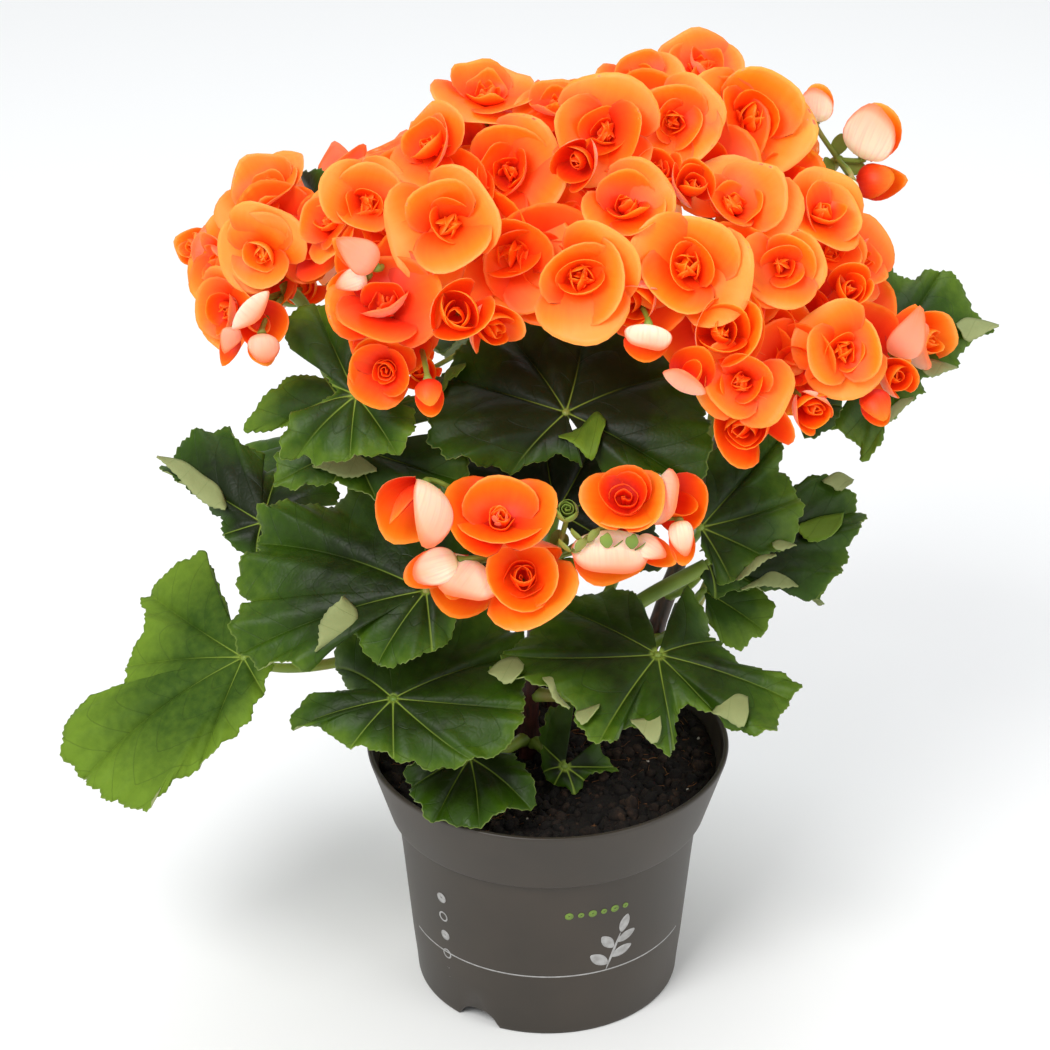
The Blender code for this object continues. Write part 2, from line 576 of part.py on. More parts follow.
def make_leaf(name, hub, frame, edge, droop, phase, row, parts, surface):
    ring = edge[:-1:2] + edge[-1:]
    points = [hub]
    points += [blade_point(hub, frame, a, r, .5, droop, phase) for a, r in ring]
    points += [blade_point(hub, frame, a, r, 1.0, droop, phase) for a, r in edge]
    low = [(a, 1 + i) for i, (a, _) in enumerate(ring)]
    high = [(a, 1 + len(ring) + i) for i, (a, _) in enumerate(edge)]
    faces = [(0, a, b) for (_, a), (_, b) in zip(low, low[1:])] + zipper(low, high)
    blade = add_object(name, mesh_from(name, points, faces), parts)
    thickness = blade.modifiers.new("blade", "SOLIDIFY")
    thickness.thickness = BLADE * MM
    thickness.offset = 0
    apply_modifiers(blade)
    merge_doubles(blade.data)
    start, out = beside_stem(row["stem"], row["joint"], hub, PETIOLE_RADII[0], PETIOLE_ROOM)
    span = np.linalg.norm(hub - start)
    arrive = hub - frame[0] * .30 * span + unit(start - hub) * .12 * span
    path = bezier(start, start + out * .35 * span, arrive, hub + frame[0] * 1.2, 6)
    stalk = tube(name + "_petiole", path, PETIOLE_RADII, parts, 0)
    return joined(name, [blade, stalk], surface)


def make_leaves(parts):
    green = material("begonia leaf", (.035, .11, .016), .45)
    for number, (name, row) in enumerate(LEAVES.items()):
        make_leaf(name, *photo_leaf(row), 1.7 * number, row, parts, green)
    for number, (name, row) in enumerate(BACK_LEAVES.items()):
        make_leaf(name, *back_leaf(row), 2.3 * number, row, parts, green)


# Blooms
def bloom_places():
    """Each spray's blooms as (middle, facing, half width, kind). Blooms that another one hides step
    back from it, along the line of sight or into the mound, until they stand clear of it."""
    waiting = []
    for name, spray in SPRAYS.items():
        for across, down, width, right, up, layer, kind in spray["blooms"]:
            facing = right * ACROSS + up * UPWARD + math.sqrt(max(1 - right ** 2 - up ** 2, 0)) * TOWARD
            pixel = (across, down)
            middle = at_depth(pixel, spray["depth"]) if "depth" in spray else on_mound(pixel)
            size = width / VIEW_FOCAL * np.linalg.norm(middle - EYE) / 2
            waiting.append((layer, name, middle, unit(facing), size, kind, sight(pixel)))
    for name, spray in BACK_SPRAYS.items():
        for bearing, height, width, kind in spray["blooms"]:
            turn, rise = math.radians(bearing), math.radians(height)
            way = np.array([math.cos(turn) * math.cos(rise), math.sin(turn) * math.cos(rise), math.sin(rise)])
            facing = unit(way / MOUND_RADII)
            middle = MOUND_CENTRE + way * MOUND_RADII - facing * spray.get("sink", 0)
            waiting.append((3, name, middle, facing, width / 2, kind, -facing))
    placed = []
    for _, name, middle, facing, size, kind, retreat in sorted(waiting, key=lambda row: row[0]):
        while any(crowd(middle, size, facing, other[1], other[3], other[2]) for other in placed):
            middle = middle + retreat * CROWDING_STEP
        placed.append((name, middle, facing, size, kind))
    return placed


def crowd(middle, size, facing, other_middle, other_size, other_facing):
    """Whether two blooms touch, each taken as a flat cushion across the way it faces."""
    apart = other_middle - middle
    axis = unit(facing + other_facing)
    deep = apart @ axis
    wide = np.linalg.norm(apart - axis * deep)
    reach = size + other_size
    return (wide / (CROWDING_SPREAD * reach)) ** 2 + (deep / (CROWDING_DEPTH * reach)) ** 2 < 1


def ring_corners(ring, turn):
    """(angle, radius, height) of each corner of a plain ring, or three for each petal of a ring."""
    if len(ring) == 3:
        count, radius, height = ring
        return [(turn + math.tau * i / count, radius, height) for i in range(count)]
    petals, tip, notch, tip_height, notch_height = ring
    step = math.tau / petals
    corners = []
    for petal in range(petals):
        start = turn + petal * step
        lift = .09 * (-1) ** petal
        corners += [(start, notch, notch_height), (start + .30 * step, tip, tip_height + lift),
                    (start + .70 * step, tip, tip_height + lift)]
    return corners


def bloom_mesh(name, middle, facing, size, kind, fork, number):
    """A bloom and its stalk as one loft: small rings along the stalk, then the rings of petals."""
    shape = BLOOM_RINGS[kind]
    size = size * BLOOM_SCALE
    _, back_radius, back_height = shape["plain_back"]
    back = middle + facing * (back_height - .12) * size
    reach = np.linalg.norm(back - fork)
    side = unit(np.cross(facing, back - fork + .01 * ACROSS))
    path = bezier(fork, fork + (back - fork) * .3, back - facing * .35 * reach, back, 4)
    points, rings = [], []
    for place, ahead in zip(path[:-1], path[1:]):
        along = unit(ahead - place)
        rings.append([(math.tau * i / STALK_SIDES, len(points) + i) for i in range(STALK_SIDES)])
        for i in range(STALK_SIDES):
            angle = math.tau * i / STALK_SIDES
            points.append(place + PEDICEL_RADIUS * (side * math.cos(angle)
                                                    + np.cross(along, side) * math.sin(angle)))
    first, second = side, np.cross(facing, side)
    for order, ring in enumerate([shape["plain_back"]] + shape["rings"]):
        corners = ring_corners(ring, (1.1 * number + .9 * order) % 1.0)
        rings.append([(angle, len(points) + i) for i, (angle, _, _) in enumerate(corners)])
        points += [middle + size * (first * radius * math.cos(angle) + second * radius * math.sin(angle)
                                    + facing * height) for angle, radius, height in corners]
    faces = [tuple(range(STALK_SIDES))[::-1]]
    for low, high in zip(rings[:-1], rings[1:]):
        faces += [face[::-1] for face in zipper(closed_row(low), closed_row(high))]
    last = [index for _, index in rings[-1]]
    points.append(middle + facing * shape["tip"] * size)
    faces += [(len(points) - 1, a, b) for a, b in zip(last, last[1:] + last[:1])]
    return mesh_from(name, points, faces)


def make_spray(name, row, blooms, parts, surface):
    fork = np.array(row["fork"], float)
    start, out = beside_stem(row["stem"], row["joint"], fork, PEDUNCLE_RADII[0], PEDUNCLE_ROOM)
    span = np.linalg.norm(fork - start)
    away = unit(np.mean([middle for _, middle, *_ in blooms], axis=0) - fork)
    path = bezier(start, start + out * .3 * span, fork - away * .3 * span, fork, 5)
    pieces = [tube(name, path, PEDUNCLE_RADII, parts, 1)]
    bpy.ops.mesh.primitive_ico_sphere_add(subdivisions=1, radius=NODE_RADIUS * MM,
                                          location=(fork * MM).tolist())
    knot = bpy.context.object
    bpy.context.view_layer.update()
    knot.data.transform(knot.matrix_world)
    knot.location = (0, 0, 0)
    for owner in list(knot.users_collection):
        owner.objects.unlink(knot)
    parts.objects.link(knot)
    pieces.append(knot)
    for number, (_, middle, facing, size, kind) in enumerate(blooms):
        mesh = bloom_mesh(f"{name}_{number}", middle, facing, size, kind, fork, number)
        pieces.append(add_object(mesh.name, mesh, parts))
    return joined(name, pieces, surface, "MANIFOLD")


def make_sprays(parts):
    petal = material("begonia petal", (.95, .20, .02), .5)
    places = bloom_places()
    for name, row in {**SPRAYS, **BACK_SPRAYS}.items():
        blooms = [place for place in places if place[0] == name]
        make_spray(name, row, blooms, parts, petal)


def main():
    for old in list(bpy.data.objects):
        bpy.data.objects.remove(old)
    parts = bpy.data.collections.new("potted_begonia")
    cutters = bpy.data.collections.new("cutters")
    for made in (parts, cutters):
        bpy.context.scene.collection.children.link(made)
    make_pot(parts, cutters)
    make_soil(parts, cutters)
    make_stems(parts)
    make_leaves(parts)
    make_sprays(parts)


main()
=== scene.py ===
# A potted winter begonia dressed for its render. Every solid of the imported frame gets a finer
# piece of the same form and place. Lengths are in millimetres until a mesh is made.
import json
import math

import bpy
import numpy as np
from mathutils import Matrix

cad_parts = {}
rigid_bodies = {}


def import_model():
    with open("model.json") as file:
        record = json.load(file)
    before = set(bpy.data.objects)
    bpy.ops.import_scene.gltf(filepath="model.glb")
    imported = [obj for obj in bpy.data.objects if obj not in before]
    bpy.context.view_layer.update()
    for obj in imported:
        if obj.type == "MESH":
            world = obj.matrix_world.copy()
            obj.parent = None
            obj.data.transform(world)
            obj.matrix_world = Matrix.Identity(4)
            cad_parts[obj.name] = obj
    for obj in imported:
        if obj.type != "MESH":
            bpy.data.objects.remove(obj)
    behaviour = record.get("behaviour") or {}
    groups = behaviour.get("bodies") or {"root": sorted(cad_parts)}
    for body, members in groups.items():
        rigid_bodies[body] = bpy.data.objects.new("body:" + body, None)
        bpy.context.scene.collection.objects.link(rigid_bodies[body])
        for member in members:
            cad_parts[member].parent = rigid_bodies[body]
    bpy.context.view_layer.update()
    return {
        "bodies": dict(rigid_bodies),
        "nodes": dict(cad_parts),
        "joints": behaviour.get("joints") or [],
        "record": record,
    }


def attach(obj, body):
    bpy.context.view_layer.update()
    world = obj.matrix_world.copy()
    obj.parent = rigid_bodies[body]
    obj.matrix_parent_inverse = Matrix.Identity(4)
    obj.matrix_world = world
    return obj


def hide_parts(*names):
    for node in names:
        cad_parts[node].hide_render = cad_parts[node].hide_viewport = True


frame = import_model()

mm = 0.001

# The line of sight through a pixel of the photograph, which is 1050 pixels square
viewAngle = math.radians(28.7)
viewFocal = 3453.0
viewMiddle = 525.0
viewDistance = 1200.0
viewTarget = np.array([-8.2, 0.0, 183.4])
across = np.array([1.0, 0.0, 0.0])
toward = np.array([0.0, -math.cos(viewAngle), math.sin(viewAngle)])
upward = np.array([0.0, math.sin(viewAngle), math.cos(viewAngle)])
eye = viewTarget + viewDistance * toward


def unit(vector):
    return np.asarray(vector, float) / np.linalg.norm(vector)


def sight(pixel):  # the unit line of sight from the eye through a pixel
    right, down = pixel
    return unit((right - viewMiddle) * across - (down - viewMiddle) * upward - viewFocal * toward)


def onPlane(pixel, point, normal):  # where the line of sight through a pixel meets a plane
    line = sight(pixel)
    return eye + line * np.dot(point - eye, normal) / np.dot(line, normal)


def atDepth(pixel, depth):
    return onPlane(pixel, np.array([0.0, depth, 0.0]), np.array([0.0, 1.0, 0.0]))


def bezier(a, b, c, d, count):  # points of a cubic curve from a to d, by the share t
    t = np.linspace(0.0, 1.0, count)[:, None]
    return (1 - t) ** 3 * a + 3 * (1 - t) ** 2 * t * b + 3 * (1 - t) * t * t * c + t ** 3 * d


def inFrame(axis, first=None):
    # Two unit vectors square to an axis, the first as near as can be to the one asked for
    first = np.array([0.0, 0.0, 1.0]) if first is None else first
    first = unit(first - axis * np.dot(first, axis))
    return first, np.cross(axis, first)


def smoothStep(low, high, value):  # 0 below low, 1 above high, 3t^2 - 2t^3 between them
    t = np.clip((value - low) / (high - low), 0, 1)
    return t * t * (3 - 2 * t)


# Surfaces
def gridFaces(rows, columns, closed=False):  # quads whose outside is where row x column points
    spans = columns if closed else columns - 1
    row, column = np.meshgrid(np.arange(rows - 1), np.arange(spans), indexing="ij")
    ahead = (column + 1) % columns
    quads = [row * columns + column, (row + 1) * columns + column, (row + 1) * columns + ahead,
             row * columns + ahead]
    return np.stack(quads, -1).reshape(-1, 4)


def surfaceNormals(grid):  # the cross product of the steps along the rows and the columns
    normal = np.cross(np.gradient(grid, axis=0), np.gradient(grid, axis=1))
    return normal / np.maximum(np.linalg.norm(normal, axis=-1, keepdims=True), 1e-12)


def shell(grid, thickness):
    # Two skins half a thickness either side of the grid, joined round the four edges.
    # The first skin lies on the side that row x column points to.
    rows, columns = grid.shape[:2]
    count = rows * columns
    lift = surfaceNormals(grid) * np.broadcast_to(thickness, (rows, columns))[..., None] / 2
    points = np.concatenate([(grid + lift).reshape(-1, 3), (grid - lift).reshape(-1, 3)])
    front = gridFaces(rows, columns)
    index = np.arange(count).reshape(rows, columns)
    rim = []
    for line in (index[0], index[-1, ::-1], index[::-1, 0], index[:, -1]):
        rim.append(np.stack([line[:-1], line[1:], line[1:] + count, line[:-1] + count], -1))
    return points, np.concatenate([front, front[:, ::-1] + count] + rim)


def tubePath(points, radii, sides, reference):
    # Rings round a path, each square to it, closed at both ends by a ring of no size
    points = np.asarray(points, float)
    radii = np.broadcast_to(radii, (len(points),))
    along = np.gradient(points, axis=0)
    along /= np.linalg.norm(along, axis=1, keepdims=True)
    first = reference - along * (along @ reference)[:, None]
    first /= np.linalg.norm(first, axis=1, keepdims=True)
    second = np.cross(along, first)
    angle = np.arange(sides) * math.tau / sides
    ring = first[:, None] * np.cos(angle)[None, :, None] + second[:, None] * np.sin(angle)[None, :, None]
    rings = points[:, None] + ring * radii[:, None, None]
    ends = [points[:1, None] + ring[:1] * 0.01 * radii[0], points[-1:, None] + ring[-1:] * 0.01 * radii[-1]]
    rings = np.concatenate([ends[0], rings, ends[1]])
    faces = gridFaces(len(rings), sides, closed=True)[:, ::-1]
    return rings.reshape(-1, 3), faces


def splined(points, count):  # a smooth line through the points, as a Catmull-Rom curve
    points = np.asarray(points, float)
    padded = np.concatenate([2 * points[:1] - points[1:2], points, 2 * points[-1:] - points[-2:-1]])
    place = np.linspace(0, len(points) - 1 - 1e-9, count)
    start = place.astype(int)
    t = (place - start)[:, None]
    a, b, c, d = (padded[start + step] for step in range(4))
    square, cube = 2 * a - 5 * b + 4 * c - d, 3 * b - a - 3 * c + d
    return .5 * (2 * b + (c - a) * t + square * t ** 2 + cube * t ** 3)


def addPiece(name, parts, materials, nodes):
    # One mesh from parts, each (points in mm, faces, material number, {attribute: three values a point})
    mesh = bpy.data.meshes.new(name)
    points = np.concatenate([part[0] for part in parts]) * mm
    mesh.vertices.add(len(points))
    mesh.vertices.foreach_set("co", points.astype(np.float32).ravel())
    corners, sizes, surfaces = [], [], []
    start = 0
    for places, faces, surface, _ in parts:
        corners.append((faces + start).ravel())
        sizes.append(np.full(len(faces), faces.shape[1]))
        surfaces.append(np.full(len(faces), surface))
        start += len(places)
    corners, sizes, surfaces = (np.concatenate(item) for item in (corners, sizes, surfaces))
    mesh.loops.add(len(corners))
    mesh.loops.foreach_set("vertex_index", corners.astype(np.int32))
    mesh.polygons.add(len(sizes))
    mesh.polygons.foreach_set("loop_start", (np.cumsum(sizes) - sizes).astype(np.int32))
    for material in materials:
        mesh.materials.append(material)
    mesh.polygons.foreach_set("material_index", surfaces.astype(np.int32))
    mesh.polygons.foreach_set("use_smooth", np.ones(len(sizes), bool))
    for key in sorted({key for part in parts for key in part[3]}):
        values = [part[3].get(key, np.zeros((len(part[0]), 3))) for part in parts]
        layer = mesh.attributes.new(key, "FLOAT_VECTOR", "POINT")
        layer.data.foreach_set("vector", np.concatenate(values).astype(np.float32).ravel())
    mesh.update(calc_edges=True)
    mesh.validate()
    piece = bpy.data.objects.new(name, mesh)
    bpy.context.scene.collection.objects.link(piece)
    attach(piece, "root")
    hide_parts(*nodes)


# Materials. Scales on Object coordinates count per metre, and on a piece's own attributes per millimetre.
def linear(code):  # an sRGB hex colour as linear red, green, blue and alpha
    values = [int(code[i:i + 2], 16) / 255 for i in (0, 2, 4)]
    return (*(v / 12.92 if v <= .04045 else ((v + .055) / 1.055) ** 2.4 for v in values), 1.0)


def addNode(tree, kind, inputs=None, stops=None, output=0, **settings):
    # One node with its settings, its inputs as values or links, and its ramp's stops. It gives one of
    # the node's outputs, or all of them where output is None.
    node = tree.nodes.new("ShaderNode" + kind)
    for key, value in settings.items():
        setattr(node, key, value)
    for key, value in (inputs or {}).items():
        if isinstance(value, bpy.types.NodeSocket):
            tree.links.new(value, node.inputs[key])
        else:
            node.inputs[key].default_value = value
    for number, (place, code) in enumerate(stops or []):
        ramp = node.color_ramp.elements
        stop = ramp[number] if number < 2 else ramp.new(place)
        stop.position = place
        stop.color = linear(code)
    return node.outputs if output is None else node.outputs[output]


def newMaterial(name, **values):  # a Principled material with its shader's own values set
    material = bpy.data.materials.new(name)
    material.use_nodes = True
    tree = material.node_tree
    shader = tree.nodes["Principled BSDF"]
    for key, value in values.items():
        shader.inputs[key.replace("_", " ")].default_value = value
    return material, tree, shader


def wire(tree, shader, **sockets):  # links each output to the shader's input of that name
    for key, socket in sockets.items():
        tree.links.new(socket, shader.inputs[key.replace("_", " ")])


def makePlastic():
    # Injection-moulded polypropylene, dyed through: satin, with the mould's fine spark-eroded grain
    material, tree, shader = newMaterial("taupe moulded polypropylene", Roughness=.46, IOR=1.49)
    place = addNode(tree, "TexCoord", output="Object")
    cloud = addNode(tree, "TexNoise", {"Vector": place, "Scale": 28.0, "Detail": 3.0})  # 36 mm clouds
    colour = addNode(tree, "ValToRGB", {0: cloud}, stops=[(.30, "2F2921"), (.70, "3A3229")])
    grain = addNode(tree, "TexNoise", {"Vector": place, "Scale": 2200.0, "Detail": 2.0})  # 0.45 mm grain
    bump = addNode(tree, "Bump", {"Height": grain, "Strength": .16, "Distance": .0001})
    rough = addNode(tree, "MapRange", {"Value": cloud, "To Min": .40, "To Max": .52})
    wire(tree, shader, Base_Color=colour, Normal=bump, Roughness=rough)
    return material


def makeInk(name, code):
    # Pad-printed ink: a thin matt film, worn here and there so that the plastic shows through
    material, tree, shader = newMaterial(name, Roughness=.6, IOR=1.5)
    place = addNode(tree, "TexCoord", output="Object")
    wear = addNode(tree, "TexNoise", {"Vector": place, "Scale": 400.0, "Detail": 2.0})  # 2.5 mm patches
    worn = addNode(tree, "MapRange", {"Value": wear, "From Min": .35, "From Max": .8, "To Max": .45})
    wire(tree, shader, Base_Color=addNode(tree, "MixRGB", {0: worn, 1: linear(code), 2: linear("403930")}))
    return material


def makeEarth():
    # Moist black peat: nearly black, rough, with paler crumbs, each as pale as its own attribute says
    material, tree, shader = newMaterial("moist peat", Roughness=.92, IOR=1.4)
    place = addNode(tree, "TexCoord", output="Object")
    crumb = addNode(tree, "Attribute", output="Vector", attribute_name="crumb")
    clods = addNode(tree, "TexNoise", {"Vector": place, "Scale": 260.0, "Detail": 6.0,  # 4 mm clods
                                        "Roughness": .7})
    mixed = addNode(tree, "Math", {0: clods, 1: addNode(tree, "SeparateXYZ", {0: crumb})}, operation="ADD")
    stops = [(.34, "080605"), (.60, "17100B"), (.84, "33241A"), (.99, "6A5038")]
    bump = addNode(tree, "Bump", {"Height": clods, "Strength": .8, "Distance": .0012})
    wire(tree, shader, Base_Color=addNode(tree, "ValToRGB", {0: mixed}, stops=stops), Normal=bump)
    return material


def makeFibre(name, dark, light):
    # Coir strands or perlite grains, dry and matt, told apart by their colours
    material, tree, shader = newMaterial(name, Roughness=.85)
    place = addNode(tree, "TexCoord", output="Object")
    cloud = addNode(tree, "TexNoise", {"Vector": place, "Scale": 300.0, "Detail": 3.0})  # 3 mm patches
    wire(tree, shader, Base_Color=addNode(tree, "ValToRGB", {0: cloud}, stops=[(.3, dark), (.7, light)]))
    return material


def makeBark():
    # Living begonia stem: smooth, juicy and red-brown, greener towards the top, with fine pale streaks
    material, tree, shader = newMaterial("red-brown stem", Roughness=.42, IOR=1.42)
    place = addNode(tree, "TexCoord", output="Object")
    high = addNode(tree, "SeparateXYZ", {0: place}, output=2)
    rise = addNode(tree, "MapRange", {"Value": high, "From Min": .12, "From Max": .25})
    stretched = addNode(tree, "Mapping", {"Vector": place, "Scale": (1.0, 1.0, .12)})
    streak = addNode(tree, "TexNoise", {"Vector": stretched, "Scale": 900.0, "Detail": 3.0})  # 1 mm streaks
    red = addNode(tree, "ValToRGB", {0: streak}, stops=[(.35, "221010"), (.65, "45201A")])
    green = addNode(tree, "ValToRGB", {0: streak}, stops=[(.35, "56501F"), (.65, "77702F")])
    bump = addNode(tree, "Bump", {"Height": streak, "Strength": .25, "Distance": .0003})
    wire(tree, shader, Base_Color=addNode(tree, "MixRGB", {0: rise, 1: red, 2: green}), Normal=bump)
    return material


def makeStalkGreen():
    # Young stalk: juicy pale green with a soft sheen, flushed with red where the light falls
    material, tree, shader = newMaterial("young green stalk", Roughness=.4, IOR=1.42)
    place = addNode(tree, "TexCoord", output="Object")
    cloud = addNode(tree, "TexNoise", {"Vector": place, "Scale": 45.0, "Detail": 3.0})  # 22 mm flushes
    stops = [(.32, "5F7A26"), (.52, "7E9438"), (.72, "9C8A4A")]
    wire(tree, shader, Base_Color=addNode(tree, "ValToRGB", {0: cloud}, stops=stops))
    return material


def makeLeafGreen():
    # Living begonia leaf: dark and waxy above with pale veins, matt sage below. The blade's own
    # attributes give the distance to its vein, the side veins' count and the distance to its hub, then
    # the share from hub to edge, the side and the lightness, and how dull it is.
    material, tree, shader = newMaterial("begonia leaf", IOR=1.42, Specular_IOR_Level=.26)
    (offVein, phase, fromHub), (share, under, tone), (dull, _, _) = (
        addNode(tree, "SeparateXYZ", {0: addNode(tree, "Attribute", output="Vector", attribute_name=name)},
                output=None) for name in ("veins", "blade", "finish"))
    plane = addNode(tree, "Attribute", output="Vector", attribute_name="plane")
    cloud = addNode(tree, "TexNoise", {"Vector": plane, "Scale": .045, "Detail": 3.0})  # 22 mm clouds
    mottle = addNode(tree, "TexNoise", {"Vector": plane, "Scale": .30, "Detail": 4.0})  # 3 mm mottle

    # Main veins, which fade away from the hub, the pale spot at the hub, and the side veins
    gap = addNode(tree, "Math", {0: offVein}, operation="ABSOLUTE")
    ridge = addNode(tree, "MapRange", {"Value": gap, "From Min": .08, "From Max": .58, "To Min": 1.0,
                                       "To Max": 0.0}, interpolation_type="SMOOTHSTEP")
    fade = addNode(tree, "MapRange", {"Value": fromHub, "From Min": 4.0, "From Max": 46.0, "To Min": .85,
                                      "To Max": .04})
    main = addNode(tree, "Math", {0: ridge, 1: fade}, operation="MULTIPLY")
    hubSpot = addNode(tree, "MapRange", {"Value": fromHub, "From Min": 1.8, "From Max": 3.6, "To Min": .8,
                                         "To Max": 0.0}, interpolation_type="SMOOTHSTEP")
    main = addNode(tree, "Math", {0: main, 1: hubSpot}, operation="MAXIMUM")
    turns = addNode(tree, "Math", {0: phase, 1: math.pi}, operation="MULTIPLY")
    wave = addNode(tree, "Math", {0: turns}, operation="SINE")
    wave = addNode(tree, "Math", {0: wave}, operation="ABSOLUTE")
    side = addNode(tree, "MapRange", {"Value": wave, "From Min": .01, "From Max": .10, "To Min": 1.0,
                                      "To Max": 0.0}, interpolation_type="SMOOTHSTEP")
    side = addNode(tree, "Math", {0: side, 1: mottle}, operation="MULTIPLY")

    # Lightness: the leaf's own, with clouds that a dull leaf has less of, flecks, and a margin that grows
    # paler, painted light coming through the thin edge
    softCloud = addNode(tree, "MapRange", {"Value": cloud, "To Min": -.17, "To Max": .17})
    even = addNode(tree, "MapRange", {"Value": dull, "To Min": 1.0, "To Max": .25})
    softCloud = addNode(tree, "Math", {0: softCloud, 1: even}, operation="MULTIPLY")
    lightness = addNode(tree, "Math", {0: tone, 1: .50}, operation="ADD")
    fleck = addNode(tree, "MapRange", {"Value": mottle, "To Min": -.08, "To Max": .08})
    # Painted light: the blade grows paler from half way out to its edge, as light comes through the thin
    # margin
    margin = addNode(tree, "MapRange", {"Value": share, "From Min": .5, "From Max": 1.0, "To Max": .26})
    for part in (softCloud, fleck, margin):
        lightness = addNode(tree, "Math", {0: part, 1: lightness}, operation="ADD")
    stops = [(.25, "0A1201"), (.48, "152302"), (.70, "2E4A04"), (.95, "64811E")]
    upper = addNode(tree, "ValToRGB", {0: lightness}, stops=stops)
    # Painted shade: the side veins darken the upper side, as shade in their sunk grooves
    sideVeinWeight = addNode(tree, "Math", {0: side, 1: .45}, operation="MULTIPLY")
    # Painted highlight: a thin pale line where the light catches the leaf's rim
    edge = addNode(tree, "MapRange", {"Value": share, "From Min": .988, "From Max": .999, "To Max": .45})
    for amount, code in ((sideVeinWeight, "0E1C06"), (main, "8FA640"), (edge, "8A9E48")):
        upper = addNode(tree, "MixRGB", {0: amount, 1: upper, 2: linear(code)})

    below = addNode(tree, "ValToRGB", {0: lightness}, stops=[(.3, "606E36"), (.9, "929A66")])
    net = addNode(tree, "Math", {0: main, 1: sideVeinWeight}, operation="MAXIMUM")
    below = addNode(tree, "MixRGB", {0: net, 1: below, 2: linear("66783A")})
    colour = addNode(tree, "MixRGB", {0: under, 1: upper, 2: below})
    dullest = addNode(tree, "Math", {0: under, 1: dull}, operation="MAXIMUM")
    rough = addNode(tree, "MapRange", {"Value": dullest, "To Min": .36, "To Max": .68})

    # Relief: a net of 2.4 mm cells between the veins, with the veins sunk
    cells = addNode(tree, "TexVoronoi", {"Vector": plane, "Scale": .42}, feature="DISTANCE_TO_EDGE")
    relief = addNode(tree, "MapRange", {"Value": cells, "From Max": .22})
    relief = addNode(tree, "Math", {0: relief, 1: .22}, operation="MULTIPLY")
    for sunk in (side, ridge):
        relief = addNode(tree, "Math", {0: relief, 1: sunk}, operation="SUBTRACT")
    bump = addNode(tree, "Bump", {"Height": relief, "Strength": .42, "Distance": .0004})
    wire(tree, shader, Base_Color=colour, Roughness=rough, Normal=bump)
    return material


def makePetalOrange():
    # Living petal: silky and translucent, orange inside and redder towards its base, with a thin pink
    # rim, cream to peach outside. The petal's own attributes give the share along it, its side, its
    # depth in the bloom with the bloom's painted shade added, how near its rim is, how far its outside
    # blushes, and how much warm red it takes, partly a random hue and partly painted shade.
    material, tree, shader = newMaterial("begonia petal", Roughness=.5, IOR=1.36, Subsurface_Weight=.35,
                                         Subsurface_Scale=.004, Subsurface_Radius=(1.0, .30, .08))
    (share, outside, tone), (rim, blush, coralAndShade) = (
        addNode(tree, "SeparateXYZ", {0: addNode(tree, "Attribute", output="Vector", attribute_name=name)},
                output=None) for name in ("petal", "edge"))
    grain = addNode(tree, "Attribute", output="Vector", attribute_name="grain")
    streak = addNode(tree, "TexNoise", {"Vector": grain, "Scale": 1.0, "Detail": 3.0})

    place = addNode(tree, "MapRange", {"Value": streak, "To Min": -.07, "To Max": .07})
    place = addNode(tree, "Math", {0: share, 1: place}, operation="ADD")
    place = addNode(tree, "Math", {0: place, 1: tone}, operation="SUBTRACT")
    stops = [(.00, "C81602"), (.18, "E83002"), (.40, "F64E02"), (.62, "FB6804"), (.82, "FD800E"),
             (1.0, "FF963A")]
    inner = addNode(tree, "ValToRGB", {0: place}, stops=stops)
    # Warm red mixed in: partly a random hue of the bloom, partly painted shade for blooms that sit back
    redder = addNode(tree, "Math", {0: coralAndShade, 1: .50}, operation="MULTIPLY")
    inner = addNode(tree, "MixRGB", {0: redder, 1: inner, 2: linear("F8421C")})
    rimmed = addNode(tree, "MapRange", {"Value": rim, "From Min": .80, "From Max": 1.0, "To Max": .15},
                     interpolation_type="SMOOTHSTEP")
    shallow = addNode(tree, "MapRange", {"Value": tone, "From Max": .24, "To Min": 1.0, "To Max": .15})
    rimmed = addNode(tree, "Math", {0: rimmed, 1: shallow}, operation="MULTIPLY")
    inner = addNode(tree, "MixRGB", {0: rimmed, 1: inner, 2: linear("FF9A66")})

    stops = [(.05, "A9B766"), (.16, "ECE6B8"), (.38, "FBEACE"), (.60, "FBD0B4"), (.84, "FCAA8C"),
             (1.0, "FF7A56")]
    outer = addNode(tree, "ValToRGB", {0: share}, stops=stops)
    veined = addNode(tree, "MapRange", {"Value": streak, "From Min": .48, "From Max": .7, "To Max": .30})
    border = addNode(tree, "MapRange", {"Value": rim, "From Min": .84, "From Max": 1.0, "To Max": .80},
                     interpolation_type="SMOOTHSTEP")
    for amount, code in ((blush, "F66A40"), (veined, "F8907A"), (border, "FF6840")):
        outer = addNode(tree, "MixRGB", {0: amount, 1: outer, 2: linear(code)})
    colour = addNode(tree, "MixRGB", {0: outside, 1: inner, 2: outer})
    bump = addNode(tree, "Bump", {"Height": streak, "Strength": .14, "Distance": .0003})
    # Painted glow: the petal gives off its own colour, which also lifts its shaded creases
    shader.inputs["Emission Strength"].default_value = .10  # stands for the light that comes through a petal
    wire(tree, shader, Base_Color=colour, Emission_Color=colour, Normal=bump)
    return material


plastic = makePlastic()
greyInk = makeInk("pale grey print", "A9A8A6")
greenInk = makeInk("green print", "6C8A2E")
earth = makeEarth()
fibre = makeFibre("coir strands", "44260F", "80542C")
grit = makeFibre("perlite grains", "B9B2A6", "DAD5CA")
bark = makeBark()
stalkGreen = makeStalkGreen()
leafGreen = makeLeafGreen()
petalOrange = makePetalOrange()
print("materials made")


# Pot
pot = dict(height=96.0, rimRadius=65.0, collarHeight=26.0, collarFootRadius=57.4, bodyTopRadius=54.5,
           baseRadius=47.8, wall=1.6, floorUnderside=6.5, centreFootRadius=9.0, notchRadius=8.7,
           notchHeight=6.2, notchBearings=(-122.0, 58.0), columns=288)


